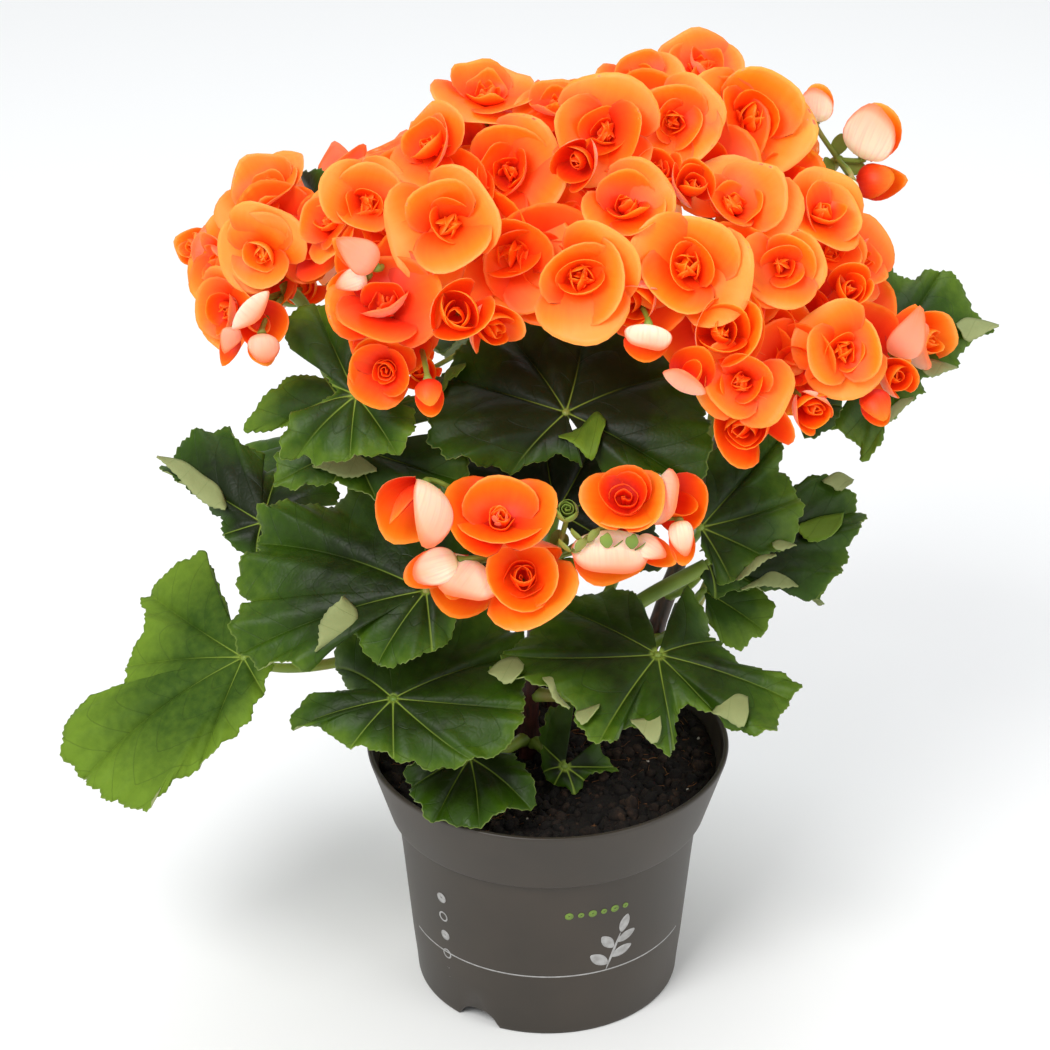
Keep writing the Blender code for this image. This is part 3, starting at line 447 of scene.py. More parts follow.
def potProfile():
    # (radius, height) from the middle of the floor up the inside, over the rim and down the outside
    height, rim, wall = pot["height"], pot["rimRadius"], pot["wall"]
    foot, body, base = pot["collarFootRadius"], pot["bodyTopRadius"], pot["baseRadius"]
    under, collar = pot["floorUnderside"], height - pot["collarHeight"]
    floor = under + wall
    return np.array([
        (.01, floor), (base - wall - 1.6, floor), (base - wall - .6, floor + .8), (body - wall, collar - .6),
        (body - wall + .8, collar + .8), (foot - wall, collar + 2.2), (rim - wall - .5, height - 1.6),
        (rim - wall - .3, height - .5), (rim - wall + .2, height - .05), (rim - wall + .6, height),
        (rim - .6, height), (rim - .15, height - .25), (rim, height - .8), (rim - .15, height - 1.6),
        (foot + .25, collar + 1.4), (foot, collar + .6), (foot - .25, collar + .15), (foot - .6, collar),
        (body + .5, collar - .1), (body + .2, collar - .3), (body, collar - 1.0), (body - .1, collar - 2.0),
        ((body * 3 + base) / 4, 53), ((body + base) / 2, 35), ((body + base * 3) / 4, 17), (base + .42, 6.0),
        (base + .12, 2.2), (base, 1.0), (base - .2, .35), (base - .6, 0), (base - 2.0, 0), (base - 2.0, .6),
        (base - 1.8, under - .6), (base - 2.3, under), (pot["centreFootRadius"] + .6, under),
        (pot["centreFootRadius"] + .1, .3), (pot["centreFootRadius"], 0), (.01, 0)])


def makePot():
    # The profile turned round the axis; near each notch the foot is squeezed up to the notch's arch
    profile = potProfile()
    angle = np.arange(pot["columns"]) * math.tau / pot["columns"]
    radius, height = profile[:, 0][:, None], profile[:, 1][:, None]
    arch = np.zeros_like(angle)
    for bearing in pot["notchBearings"]:
        apart = (angle - math.radians(bearing) + math.pi) % math.tau - math.pi
        side = pot["baseRadius"] * np.sin(apart)
        above = pot["notchRadius"] - pot["notchHeight"]
        root = np.sqrt(np.maximum(pot["notchRadius"] ** 2 - side ** 2, 0)) - above
        arch = np.maximum(arch, np.where(np.abs(apart) < 1, np.maximum(root, 0), 0))
    footing = radius > 30
    lifted = height + footing * arch * np.maximum(1 - height / pot["floorUnderside"], 0)
    grid = np.stack([radius * np.cos(angle), radius * np.sin(angle), lifted + 0 * angle], -1)
    faces = gridFaces(len(profile), pot["columns"], closed=True)
    addPiece("nursery_pot", [(grid.reshape(-1, 3), faces[:, ::-1], 0, {})], [plastic], ["pot"])


def onPot(bearing, height):  # a point on the pot's tapered body, with the bearing in degrees
    body, base = pot["bodyTopRadius"], pot["baseRadius"]
    radius = base + (body - base) * (height - 1) / (pot["height"] - pot["collarHeight"] - 2)
    angle = np.radians(bearing)
    return np.stack([radius * np.cos(angle), radius * np.sin(angle), height + 0 * angle], -1)


# Places are (bearing in degrees, height). A leaf of the sprig is: degrees right, up, length, width, lean.
printed = dict(lineHeight=27.0, lineFrom=-158.0, lineTo=-22.0, lineWidth=.55, film=.16, degreesPerMm=1.12,
               icons=(-136.0, 52.0), iconStep=8.5, iconCount=5, dots=(-82.0, 55.0), dotStep=4.6, dotCount=6,
               sprig=(-66.0, 33.0), sprigLeaves=[
                   (0, -6, 17, 1.0, 18), (1, -3, 9, 4.4, -52), (2, 0, 9, 4.2, 72), (3, 4, 8, 4.0, -38),
                   (4.5, 6, 8, 3.8, 64), (6, 10, 8, 3.8, 16)])


def printedLeaf(bearing, height, length, width, lean):
    # A leaf shape lying on the pot: half width width*sin(pi t)^0.7 along a line that leans by lean degrees
    t = np.linspace(.02, .98, 16)[:, None]
    s = np.linspace(-1, 1, 7)[None, :]
    half = width / 2 * np.sin(math.pi * t) ** .7 * s
    tilt = math.radians(lean)
    along, side = length * t, half
    right = along * math.sin(tilt) + side * math.cos(tilt)
    rise = along * math.cos(tilt) - side * math.sin(tilt)
    return shell(onPot(bearing + right * printed["degreesPerMm"], height + rise), printed["film"])


def printedRing(bearing, height, outer, inner):
    # A ring or disc lying on the pot, between two radii in millimetres
    angle = np.linspace(0, math.tau, 25)[None, :]
    radius = np.linspace(inner, outer, 3)[:, None]
    turned = bearing + radius * np.cos(angle) * printed["degreesPerMm"]
    return shell(onPot(turned, height + radius * np.sin(angle))[:, ::-1], printed["film"])


def makePrint():
    # A plain line, a sprig of leaves, a row of dots and a column of rings: thin films half sunk in the wall
    grey, green = [], []
    bearing = np.linspace(printed["lineFrom"], printed["lineTo"], 120)[None, :]
    level = printed["lineHeight"] + np.array([0, printed["lineWidth"]])[:, None]
    grey.append(shell(onPot(bearing + 0 * level, level + 0 * bearing)[::-1], printed["film"]))
    turn, rise = printed["sprig"]
    for right, up, length, width, lean in printed["sprigLeaves"]:
        grey.append(printedLeaf(turn + right, rise + up, length, width, lean))
    turn, rise = printed["dots"]
    for step in range(printed["dotCount"]):
        green.append(printedRing(turn + step * printed["dotStep"], rise, 1.1 if step % 2 else 1.5, .2))
    turn, rise = printed["icons"]
    for step in range(printed["iconCount"]):
        grey.append(printedRing(turn, rise - step * printed["iconStep"], 2.1, 1.5 if step % 2 else .2))
    for name, films, ink in (("pot_print_grey", grey, greyInk), ("pot_print_green", green, greenInk)):
        addPiece(name, [(points, faces, 0, {}) for points, faces in films], [ink], ["pot"])


makePot()
makePrint()
print("pot made")


# Soil
soil = dict(top=88.0, bump=1.6, gap=.35, columns=220, rows=60, crumbs=1500, strands=210, grains=45,
            crumbSizes=(.7, 3.2), crumbTones=(-.14, .26), grainSizes=(.35, .8), strandLengths=(3, 9),
            strandRadii=(.10, .22), spread=59.0, strandReach=60.0, seed=11)


def soilHeight(x, y):
    # Low clods: three crossed waves as in the solid, with finer crossed waves for lumps
    low = .5 * np.sin(x / 6.1 + 1) * np.cos(y / 7.3) + .3 * np.sin((x + y) / 3.9)
    low = low + .2 * np.cos((x - 2 * y) / 8.7)
    fine = np.sin(x * 1.31 + 2 * np.sin(y * .37)) * np.sin(y * 1.17 + 2 * np.sin(x * .41)) * .5
    fine += np.sin(x * 2.3 + y * .9) * np.sin(y * 2.1 - x * .7) * .3
    return soil["bump"] * low + fine


def makeSoil():
    # Rings out from the middle over the clods, then down the pot's wall and in along its floor
    wall = pot["wall"] + soil["gap"]
    collar = pot["height"] - pot["collarHeight"]
    slope = (pot["rimRadius"] - pot["collarFootRadius"]) / pot["collarHeight"]
    reach = pot["rimRadius"] - wall - (pot["height"] - soil["top"]) * slope
    floor = pot["floorUnderside"] + wall
    down = [pot["collarFootRadius"] - wall - .3, pot["bodyTopRadius"] - wall,
            pot["baseRadius"] - wall - .6, .01]
    radius = np.concatenate([np.linspace(.01, reach, soil["rows"]), down])
    height = np.concatenate([np.full(soil["rows"], soil["top"]), [collar + 2, collar - .4, floor, floor]])
    angle = np.arange(soil["columns"]) * math.tau / soil["columns"]
    x, y = radius[:, None] * np.cos(angle), radius[:, None] * np.sin(angle)
    top = (np.arange(len(radius)) < soil["rows"])[:, None]
    z = height[:, None] + top * soilHeight(x, y) + 0 * x
    grid = np.stack([x, y, z], -1).reshape(-1, 3)
    faces = gridFaces(len(radius), soil["columns"], closed=True)
    parts = [(grid, faces, 0, {})]
    parts += scattered(soil["crumbs"], soil["crumbSizes"], soil["crumbTones"], 0)
    parts += scattered(soil["grains"], soil["grainSizes"], (0, 0), 2)
    parts += strands()
    addPiece("peat_soil", parts, [earth, fibre, grit], ["soil"])


def spots(count, random):  # random places on the soil, even over its area
    angle = random.uniform(0, math.tau, count)
    radius = soil["spread"] * np.sqrt(random.uniform(0, 1, count))
    x, y = radius * np.cos(angle), radius * np.sin(angle)
    return np.stack([x, y, soil["top"] + soilHeight(x, y)], -1)


def scattered(count, sizes, tones, surface):
    # Lumps of twelve points: an icosahedron stretched and turned at random, half sunk in the soil
    random = np.random.default_rng(soil["seed"] + surface)
    golden = (1 + 5 ** .5) / 2
    corners = np.array([(-1, golden, 0), (1, golden, 0), (-1, -golden, 0), (1, -golden, 0), (0, -1, golden),
                        (0, 1, golden), (0, -1, -golden), (0, 1, -golden), (golden, 0, -1), (golden, 0, 1),
                        (-golden, 0, -1), (-golden, 0, 1)]) / 1.9
    faces = np.array([(0, 11, 5), (0, 5, 1), (0, 1, 7), (0, 7, 10), (0, 10, 11), (1, 5, 9), (5, 11, 4),
                      (11, 10, 2), (10, 7, 6), (7, 1, 8), (3, 9, 4), (3, 4, 2), (3, 2, 6), (3, 6, 8),
                      (3, 8, 9), (4, 9, 5), (2, 4, 11), (6, 2, 10), (8, 6, 7), (9, 8, 1)])
    size = sizes[0] + (sizes[1] - sizes[0]) * random.uniform(0, 1, (count, 1, 1)) ** 2
    stretch = random.uniform(.6, 1.2, (count, 1, 3)) * (1 + .25 * random.uniform(-1, 1, (count, 12, 3)))
    turn = random.uniform(0, math.tau, count)
    lumps = corners * size * stretch
    x = lumps[..., 0] * np.cos(turn)[:, None] - lumps[..., 1] * np.sin(turn)[:, None]
    y = lumps[..., 0] * np.sin(turn)[:, None] + lumps[..., 1] * np.cos(turn)[:, None]
    points = np.stack([x, y, lumps[..., 2]], -1) + spots(count, random)[:, None]
    index = faces[None] + 12 * np.arange(count)[:, None, None]
    tone = np.repeat(random.uniform(*tones, count), 12)
    crumb = np.stack([tone, tone, tone], -1)
    return [(points.reshape(-1, 3), index.reshape(-1, 3), surface, {"crumb": crumb})]


def strands():
    # Short bent threads of coir lying on the soil, each a three-sided tube
    random = np.random.default_rng(soil["seed"] + 5)
    made = []
    for place in spots(soil["strands"], random):
        length, turn = random.uniform(*soil["strandLengths"]), random.uniform(0, math.tau)
        way = np.array([math.cos(turn), math.sin(turn), 0])
        t = np.linspace(-.5, .5, 5)[:, None]
        bow = np.array([-way[1], way[0], 0]) * random.uniform(-.3, .3)
        path = place + length * (way * t + bow * t * t) + np.array([0, 0, .5])
        path[:, 2] = soil["top"] + soilHeight(path[:, 0], path[:, 1]) + .35
        if np.hypot(path[:, 0], path[:, 1]).max() < soil["strandReach"]:
            points, faces = tubePath(path, random.uniform(*soil["strandRadii"]), 3, np.array([0, 0, 1.0]))
            made.append((points, faces, 1, {}))
    return made


makeSoil()
print("soil made")


# Stems. Each is a path from the soil up, and the radii at its foot and its top.
stems = {
    "stem_front": dict(path=[(-7, 1, 60), (-7, 1, 92), (-6, -3, 122), (-4, -6, 150), (-1, 2, 200),
        (2, 8, 250)], radii=(3.6, 2.6)),
    "stem_right": dict(path=[(22, 18, 60), (27, 20, 92), (37, 25, 120), (47, 30, 152), (60, 28, 200),
        (70, 22, 244)], radii=(3.6, 2.6)),
    "stem_left": dict(path=[(-22, 12, 60), (-26, 13, 92), (-36, 14, 120), (-46, 12, 152), (-60, 8, 205),
        (-68, 4, 246)], radii=(3.4, 2.5)),
    "stem_back": dict(path=[(4, 28, 60), (3, 34, 92), (2, 44, 120), (1, 54, 152), (0, 60, 200), (0, 60, 244)],
        radii=(3.4, 2.5)),
}
stemShape = dict(sides=20, steps=90, swelling=.16, swellingLength=3.2, leaving=25)


def stemRadius(stem, height):
    heights = [point[2] for point in stem["path"]]
    return np.interp(height, heights, np.linspace(*stem["radii"], len(heights)))


def besideStem(name, height, towards, radius, room):
    # Where a stalk of some radius starts beside a stem, on the side that faces a place, and the way it leaves
    stem = stems[name]
    path = np.array(stem["path"], float)
    middle, above = (np.array([np.interp(at, path[:, 2], path[:, axis]) for axis in range(3)])
                     for at in (height, height + 1))
    along = unit(above - middle)
    out, _ = inFrame(along, np.array(towards, float) - middle)
    lean = math.radians(stemShape["leaving"])
    leaving = unit(out * math.cos(lean) + along * math.sin(lean))
    clear = stemRadius(stem, height) + room + radius * math.sin(lean)
    return middle + out * clear, leaving


def makeStems(joints):
    # A tube through the stem's points, a little thicker at each joint by a bell curve of the height
    for name, stem in stems.items():
        path = splined(stem["path"], stemShape["steps"])
        radii = stemRadius(stem, path[:, 2])
        for joint in joints[name]:
            away = (path[:, 2] - joint) / stemShape["swellingLength"]
            radii = radii * (1 + stemShape["swelling"] * np.exp(-away ** 2))
        points, faces = tubePath(path, radii, stemShape["sides"], np.array([0, 1.0, 0]))
        addPiece(name + "_bark", [(points, faces, 0, {})], [bark], [name])


# Leaves. A hub and an edge are in pixels of the photograph, and a hub's depth is in millimetres. A leaf
# also has the way it faces, how far its rim droops, and where its stalk leaves a stem.
leaves = {
    "leaf_far_left": dict(hub=(243, 657), depth=-20, faces=(-.30, -.45, .84), droop=5, stem="stem_left",
        joint=130, edge=[(273, 662), (253, 716), (219, 753), (182, 773), (147, 813), (99, 793), (58, 752),
        (66, 716), (84, 696), (125, 686), (127, 658), (151, 625), (140, 598), (203, 550), (226, 604)]),
    "leaf_left_large": dict(hub=(426, 590), depth=-48, faces=(-.15, -.50, .85), droop=7, stem="stem_left",
        joint=140, edge=[(456, 617), (445, 640), (420, 660), (392, 666), (377, 661), (362, 646), (352, 630),
        (329, 644), (316, 651), (306, 666), (299, 671), (290, 661), (275, 661), (254, 659), (237, 646),
        (228, 630), (240, 606), (252, 602), (240, 590), (233, 576), (246, 560), (258, 550), (258, 528),
        (262, 513), (300, 508), (336, 508), (357, 487), (382, 467), (418, 457), (443, 464), (462, 482),
        (468, 545), (474, 592)]),
    "leaf_lower_left": dict(hub=(393, 698), depth=-50, faces=(-.05, -.38, .92), droop=6, stem="stem_left",
        joint=102, edge=[(385, 636), (440, 612), (486, 608), (524, 634), (524, 729), (502, 752), (459, 764),
        (405, 761), (368, 749), (344, 740), (318, 726), (304, 731), (290, 722), (291, 707), (302, 699),
        (330, 693), (352, 686), (338, 668), (333, 648), (350, 640), (368, 640), (400, 636)]),
    "leaf_front_right": dict(hub=(658, 654), depth=-42, faces=(.05, -.32, .94), droop=6, stem="stem_front",
        joint=118, edge=[(674, 610), (686, 594), (703, 608), (711, 626), (730, 654), (762, 672), (801, 690),
        (784, 710), (774, 734), (760, 742), (742, 730), (722, 716), (700, 710), (678, 705), (675, 736),
        (669, 751), (654, 742), (634, 721), (624, 722), (611, 744), (592, 738), (580, 728), (572, 708),
        (556, 698), (533, 692), (488, 673), (500, 658), (513, 643), (528, 630), (546, 612), (566, 592),
        (613, 590), (636, 602), (648, 618)]),
    "leaf_over_rim": dict(hub=(470, 757), depth=-38, faces=(0, -.40, .92), droop=3, stem="stem_front",
        joint=98, edge=[(512, 752), (530, 775), (538, 797), (505, 817), (470, 823), (428, 820), (413, 795),
        (405, 765), (440, 748)]),
    "leaf_young": dict(hub=(565, 766), depth=-20, faces=(.10, -.55, .83), droop=2, stem="stem_front",
        joint=97, edge=[(595, 742), (618, 768), (590, 772), (577, 790), (545, 774), (540, 735), (550, 704),
        (575, 702)]),
    "leaf_left_curled": dict(hub=(262, 522), depth=2, faces=(-.20, -.55, .81), droop=4, stem="stem_left",
        joint=165, edge=[(338, 505), (336, 479), (300, 476), (262, 468), (264, 457), (234, 441), (233, 428),
        (193, 434), (155, 461), (194, 492), (222, 518), (220, 536), (247, 555), (285, 545)]),
    "leaf_left_upper": dict(hub=(356, 395), depth=-42, faces=(-.15, -.62, .77), droop=4, stem="stem_left",
        joint=220, edge=[(412, 406), (418, 428), (403, 451), (361, 456), (314, 461), (304, 451), (276, 457),
        (292, 415), (336, 391), (316, 352), (286, 346), (284, 318), (306, 296), (340, 304), (364, 330)]),
    "leaf_left_behind": dict(hub=(338, 396), depth=-14, faces=(-.30, -.55, .78), droop=3, stem="stem_left",
        joint=214, edge=[(345, 420), (300, 420), (239, 428), (250, 412), (275, 390), (294, 376), (323, 373),
        (350, 378)]),
    "leaf_left_inner": dict(hub=(352, 445), depth=-28, faces=(-.10, -.45, .89), droop=4, stem="stem_left",
        joint=208, edge=[(470, 436), (466, 490), (400, 496), (362, 492), (330, 482), (300, 486), (273, 482),
        (276, 455), (310, 436), (380, 420), (404, 394), (440, 392), (468, 418)]),
    "leaf_centre": dict(hub=(566, 412), depth=-40, faces=(0, -.58, .81), droop=6, stem="stem_front",
        joint=222, edge=[(602, 471), (655, 478), (704, 479), (712, 452), (704, 405), (688, 354), (650, 326),
        (600, 316), (540, 316), (476, 330), (431, 377), (428, 441), (447, 462), (515, 468), (562, 456),
        (584, 468)]),
    "leaf_inner": dict(hub=(556, 512), depth=-24, faces=(0, -.72, .69), droop=4, stem="stem_front", joint=176,
        edge=[(604, 580), (664, 566), (646, 476), (600, 436), (530, 430), (452, 440), (444, 500), (466, 560),
        (510, 590)]),
    "leaf_right_large": dict(hub=(701, 527), depth=-20, faces=(.15, -.62, .77), droop=4, stem="stem_right",
        joint=166, edge=[(700, 546), (716, 568), (721, 583), (737, 581), (755, 559), (795, 540), (802, 512),
        (797, 490), (778, 467), (783, 435), (745, 430), (706, 455)]),
    "leaf_right_curled": dict(hub=(708, 562), depth=0, faces=(.20, -.50, .84), droop=4, stem="stem_right",
        joint=142, edge=[(700, 575), (712, 588), (724, 593), (742, 590), (757, 586), (768, 584), (786, 586),
        (800, 590), (812, 597), (828, 588), (838, 577), (846, 562), (848, 548), (856, 534), (865, 520),
        (858, 508), (854, 494), (842, 490), (826, 482), (812, 479), (800, 485), (790, 495), (770, 500),
        (715, 530)]),
    "leaf_right_light": dict(hub=(704, 590), depth=8, faces=(.30, -.55, .78), droop=3, stem="stem_right",
        joint=124, edge=[(707, 612), (717, 638), (737, 651), (769, 628), (772, 607), (757, 589), (725, 575)]),
    "leaf_right_upper": dict(hub=(880, 350), depth=6, faces=(.20, -.55, .81), droop=5, stem="stem_right",
        joint=226, edge=[(828, 429), (857, 441), (866, 458), (881, 446), (883, 429), (927, 386), (925, 377),
        (958, 365), (968, 341), (997, 327), (973, 299), (958, 278), (940, 271), (902, 281), (883, 259),
        (860, 275), (835, 330)]),
    "leaf_right_under": dict(hub=(787, 398), depth=-24, faces=(.10, -.55, .83), droop=3, stem="stem_right",
        joint=222, edge=[(802, 440), (817, 437), (838, 420), (845, 385), (820, 355), (775, 355), (757, 385),
        (758, 425), (780, 438)]),
    "leaf_upper_left": dict(hub=(332, 222), depth=14, faces=(-.35, -.45, .82), droop=2, stem="stem_left",
        joint=244, edge=[(352, 245), (310, 250), (298, 205), (300, 168), (322, 172), (352, 190)]),
}
backLeaves = {
    "leaf_back_right_low":
        dict(bearing=36, reach=80, height=150, length=46, tilt=28, stem="stem_right", joint=108),
    "leaf_back_low": dict(bearing=66, reach=86, height=152, length=56, tilt=24, stem="stem_back", joint=110),
    "leaf_back_left_low":
        dict(bearing=118, reach=84, height=146, length=55, tilt=26, stem="stem_back", joint=126),
    "leaf_back_left_side":
        dict(bearing=138, reach=92, height=188, length=52, tilt=22, stem="stem_left", joint=150),
    "leaf_back_right_high":
        dict(bearing=48, reach=96, height=212, length=50, tilt=30, stem="stem_right", joint=186),
    "leaf_back_high": dict(bearing=98, reach=88, height=216, length=50, tilt=32, stem="stem_back", joint=176),
}
# What each leaf adds to its outline: its lightness, how deep its edge ruffles, how dull it is, how
# bright its veins are, and its flaps, where the margin folds back: pixels of the fold and of the
# free edge, the flap's lightness, and 0 where it shows the leaf's upper side
leafLooks = {
    "leaf_far_left": dict(tone=.22, wave=1.6, dull=1.0),
    "leaf_left_large": dict(tone=.02, wave=2.8, glow=.7, flaps=[([(344, 596), (357, 611), (355, 628),
        (340, 638), (316, 652)], [(338, 597), (327, 607), (320, 624), (316, 638), (312, 650)], .10)]),
    "leaf_lower_left": dict(tone=.03, wave=2.6, glow=.7),
    "leaf_front_right": dict(tone=.05, wave=2.2, glow=1.0, flaps=[([(488, 672), (500, 661), (515, 657),
        (524, 665)], [(491, 677), (500, 682), (511, 684), (521, 678)], .10), ([(542, 677), (554, 677),
        (558, 694), (570, 708)], [(545, 684), (550, 692), (555, 701), (568, 711)], .16), ([(576, 712),
        (588, 708), (600, 704)], [(574, 722), (584, 724), (597, 712)], .12), ([(630, 720), (646, 718),
        (660, 713)], [(636, 728), (650, 742), (664, 748)], .16), ([(712, 712), (724, 698), (738, 692),
        (748, 697)], [(718, 718), (732, 724), (742, 729), (750, 733)], .12)]),
    "leaf_over_rim": dict(tone=-.04, wave=2.8, dull=.0),
    "leaf_young": dict(tone=.00, wave=1.4, glow=.8),
    "leaf_left_curled": dict(tone=-.04, wave=2.0, flaps=[([(157, 456), (183, 461), (203, 475), (219, 487),
        (227, 506)], [(155, 460), (178, 480), (198, 498), (212, 510), (222, 516)], .14)]),
    "leaf_left_upper": dict(tone=.07, wave=1.8),
    "leaf_left_behind": dict(tone=.14, wave=1.0, dull=.6),
    "leaf_left_inner": dict(tone=.02, wave=1.8, flaps=[([(312, 466), (336, 454), (357, 453), (376, 468)],
        [(316, 470), (336, 476), (357, 478), (378, 476)], .02)]),
    "leaf_centre": dict(tone=-.06, wave=2.0, flaps=[([(441, 392), (446, 372), (455, 366), (466, 363)],
        [(449, 388), (450, 380), (457, 376), (464, 371)], .26, 0), ([(558, 436), (580, 427), (596, 412),
        (606, 420)], [(562, 440), (578, 449), (594, 461), (603, 436)], .24, 0)]),
    "leaf_inner": dict(tone=-.24, wave=1.2),
    "leaf_right_large": dict(tone=.05, wave=2.0, flaps=[([(736, 580), (748, 565), (760, 556), (776, 554)],
        [(743, 581), (753, 572), (764, 562), (777, 558)], .16), ([(772, 543), (780, 540), (796, 545)],
        [(775, 552), (783, 550), (798, 547)], .10)]),
    "leaf_right_curled": dict(tone=.00, wave=2.4, flaps=[([(800, 524), (820, 517), (844, 513)], [(795, 538),
        (814, 542), (838, 541)], .32, 0), ([(740, 589), (758, 579), (770, 571), (785, 575), (798, 586)],
        [(746, 592), (760, 587), (774, 587), (786, 590), (799, 589)], .12), ([(822, 481), (838, 472),
        (854, 480)], [(828, 486), (838, 491), (847, 491)], .16)]),
    "leaf_right_light": dict(tone=.14, wave=1.0, dull=.6),
    "leaf_right_upper": dict(tone=.09, wave=2.0, flaps=[([(956, 324), (966, 318), (982, 320), (999, 325)],
        [(960, 332), (966, 342), (981, 337), (999, 329)], .16), ([(921, 364), (928, 359), (942, 362),
        (957, 367)], [(924, 378), (931, 378), (943, 374), (958, 370)], .20), ([(879, 418), (890, 408),
        (902, 399), (914, 397)], [(882, 433), (890, 423), (901, 412), (915, 401)], .22)]),
    "leaf_right_under": dict(tone=-.06, wave=1.2),
    "leaf_upper_left": dict(tone=-.06, wave=1.0),
}
leafShape = dict(thickness=.6, rows=28, columnStep=.9, cornerRound=2.2, toothStep=2.5, toothDepth=1.0,
                 lobuleStep=9.5, lobuleDepth=1.5, ripple=.055, valley=4.2, valleyWidth=10.0, groove=.65,
                 puff=.45, sideStep=9.5, sideSlope=1.15, ruffleStep=29.0, frillStep=10.5, innerRadius=.9,
                 backTurns=14, veinSway=.16, meanRise=2.6, tipGap=26, veinGap=40, endGap=54)
flapShape = dict(rows=8, low=.5, rise=3.4, near=5.0)
petioleShape = dict(room=.2, foot=2.3, steps=26, sides=10, shares=(0, .06, .3, .94, 1),
                    radii=(2.9, 2.4, 2.1, 1.6, 1.2))


def leafFrame(faces):  # the leaf's normal, and two directions in its plane: straight down, and to the side
    normal = unit(faces)
    down, side = inFrame(normal, np.array([0.0, 0.0, -1.0]))
    return normal, down, side


def photoLeaf(row):  # the hub, the frame, the edge's angles and radii, and the droop, from the outline
    normal, down, side = leafFrame(row["faces"])
    hub = atDepth(row["hub"], row["depth"])
    base = hub + normal * (leafShape["meanRise"] - row["droop"])
    away = np.array([onPlane(pixel, base, normal) - base for pixel in row["edge"]])
    angles = np.unwrap(np.arctan2(away @ side, away @ down))
    way = 1 if angles[-1] > angles[0] else -1
    return hub, (normal, down, side), angles[::way], np.hypot(away @ side, away @ down)[::way], row["droop"]


def backLeaf(row):  # the same for a leaf on the far side: a five-lobed heart that tips outwards
    bearing, tilt = math.radians(row["bearing"]), math.radians(row["tilt"])
    out = np.array([math.cos(bearing), math.sin(bearing), 0.0])
    hub = out * row["reach"] + np.array([0.0, 0.0, row["height"]])
    frame = leafFrame(out * math.sin(tilt) + np.array([0.0, 0.0, math.cos(tilt)]))
    angles = np.linspace(-.86 * math.pi, .86 * math.pi, leafShape["backTurns"])
    radii = row["length"] * (.74 + .26 * np.cos(angles)) * (1 + .10 * np.cos(5 * angles))
    return hub, frame, angles, radii, .1 * row["length"]


def veinAngles(angles, radii):
    # A main vein to each tip of the edge, the longest first and none within tipGap degrees of another,
    # with more between tips that lie over one and a half vein gaps apart
    peaks = [i for i in range(1, len(angles) - 1) if radii[i] >= radii[i - 1] and radii[i] >= radii[i + 1]]
    apart = math.radians(leafShape["tipGap"])
    tips = []
    for i in sorted(peaks, key=lambda peak: -radii[peak]):
        if all(abs(angles[i] - other) > apart for other in tips + [angles[0], angles[-1]]):
            tips.append(angles[i])
    tips = sorted(tips) or [angles[len(angles) // 2]]
    bounds = [angles[0]] + tips + [angles[-1]]
    veins = []
    for number, (low, high) in enumerate(zip(bounds, bounds[1:])):
        ends = (number == 0) + (number == len(bounds) - 2)
        widest = math.radians(leafShape["endGap" if ends else "veinGap"])
        gaps = max(int(round((high - low) / widest)), 1)
        if number:
            veins.append(low)
        veins += [low + (high - low) * step / gaps for step in range(1, gaps)]
    return np.array(sorted(veins))


def veinFields(theta, radius, veins, low, high):
    # Signed distance to the nearest main vein, r*gap/pi*sin(pi*(theta - vein)/gap) with its sign
    # changing from gap to gap, and the side veins' count, (r*cos - slope*distance)/step
    bounds = np.concatenate([[2 * low - veins[0]], veins, [2 * high - veins[-1]]])
    slot = np.clip(np.searchsorted(bounds, theta, side="right") - 1, 0, len(bounds) - 2)
    gap = bounds[slot + 1] - bounds[slot]
    share = (theta - bounds[slot]) / gap
    distance = radius * gap / math.pi * np.sin(math.pi * share) * (-1.0) ** slot
    along = radius * np.cos(np.minimum(share, 1 - share) * gap)
    off = np.abs(distance)
    return distance, (along - leafShape["sideSlope"] * off + .014 * off ** 2) / leafShape["sideStep"]


def leafOutline(angles, radii):
    # The outline's corners in the leaf's plane, rounded by a moving mean along the run, then at even steps
    fine = .25
    corners = np.stack([radii * np.cos(angles), radii * np.sin(angles)], -1)
    run = np.concatenate([[0], np.cumsum(np.linalg.norm(np.diff(corners, axis=0), axis=1))])
    places = np.arange(0, run[-1], fine)
    line = np.stack([np.interp(places, run, corners[:, axis]) for axis in (0, 1)], -1)
    half = int(leafShape["cornerRound"] / fine)
    kernel = np.hanning(2 * half + 1)
    kernel = kernel / kernel.sum()
    padded = np.concatenate([np.repeat(line[:1], half, 0), line, np.repeat(line[-1:], half, 0)])
    line = np.stack([np.convolve(padded[:, axis], kernel, mode="valid") for axis in (0, 1)], -1)
    run = np.concatenate([[0], np.cumsum(np.linalg.norm(np.diff(line, axis=0), axis=1))])
    places = np.linspace(0, run[-1], int(run[-1] / leafShape["columnStep"]))
    line = np.stack([np.interp(places, run, line[:, axis]) for axis in (0, 1)], -1)
    out = np.gradient(line, axis=0)[:, ::-1] * np.array([1.0, -1.0])
    return places, line, out / np.maximum(np.linalg.norm(out, axis=1, keepdims=True), 1e-9)


def twoSkins(under, fields):
    # Each attribute's values for the points of the first skin and then of the second
    both = {key: [np.tile(value.reshape(-1), 2) for value in values] for key, values in fields.items()}
    both["blade"].insert(1, np.repeat(under, fields["blade"][0].size))
    return {key: np.stack(values, -1) for key, values in both.items()}


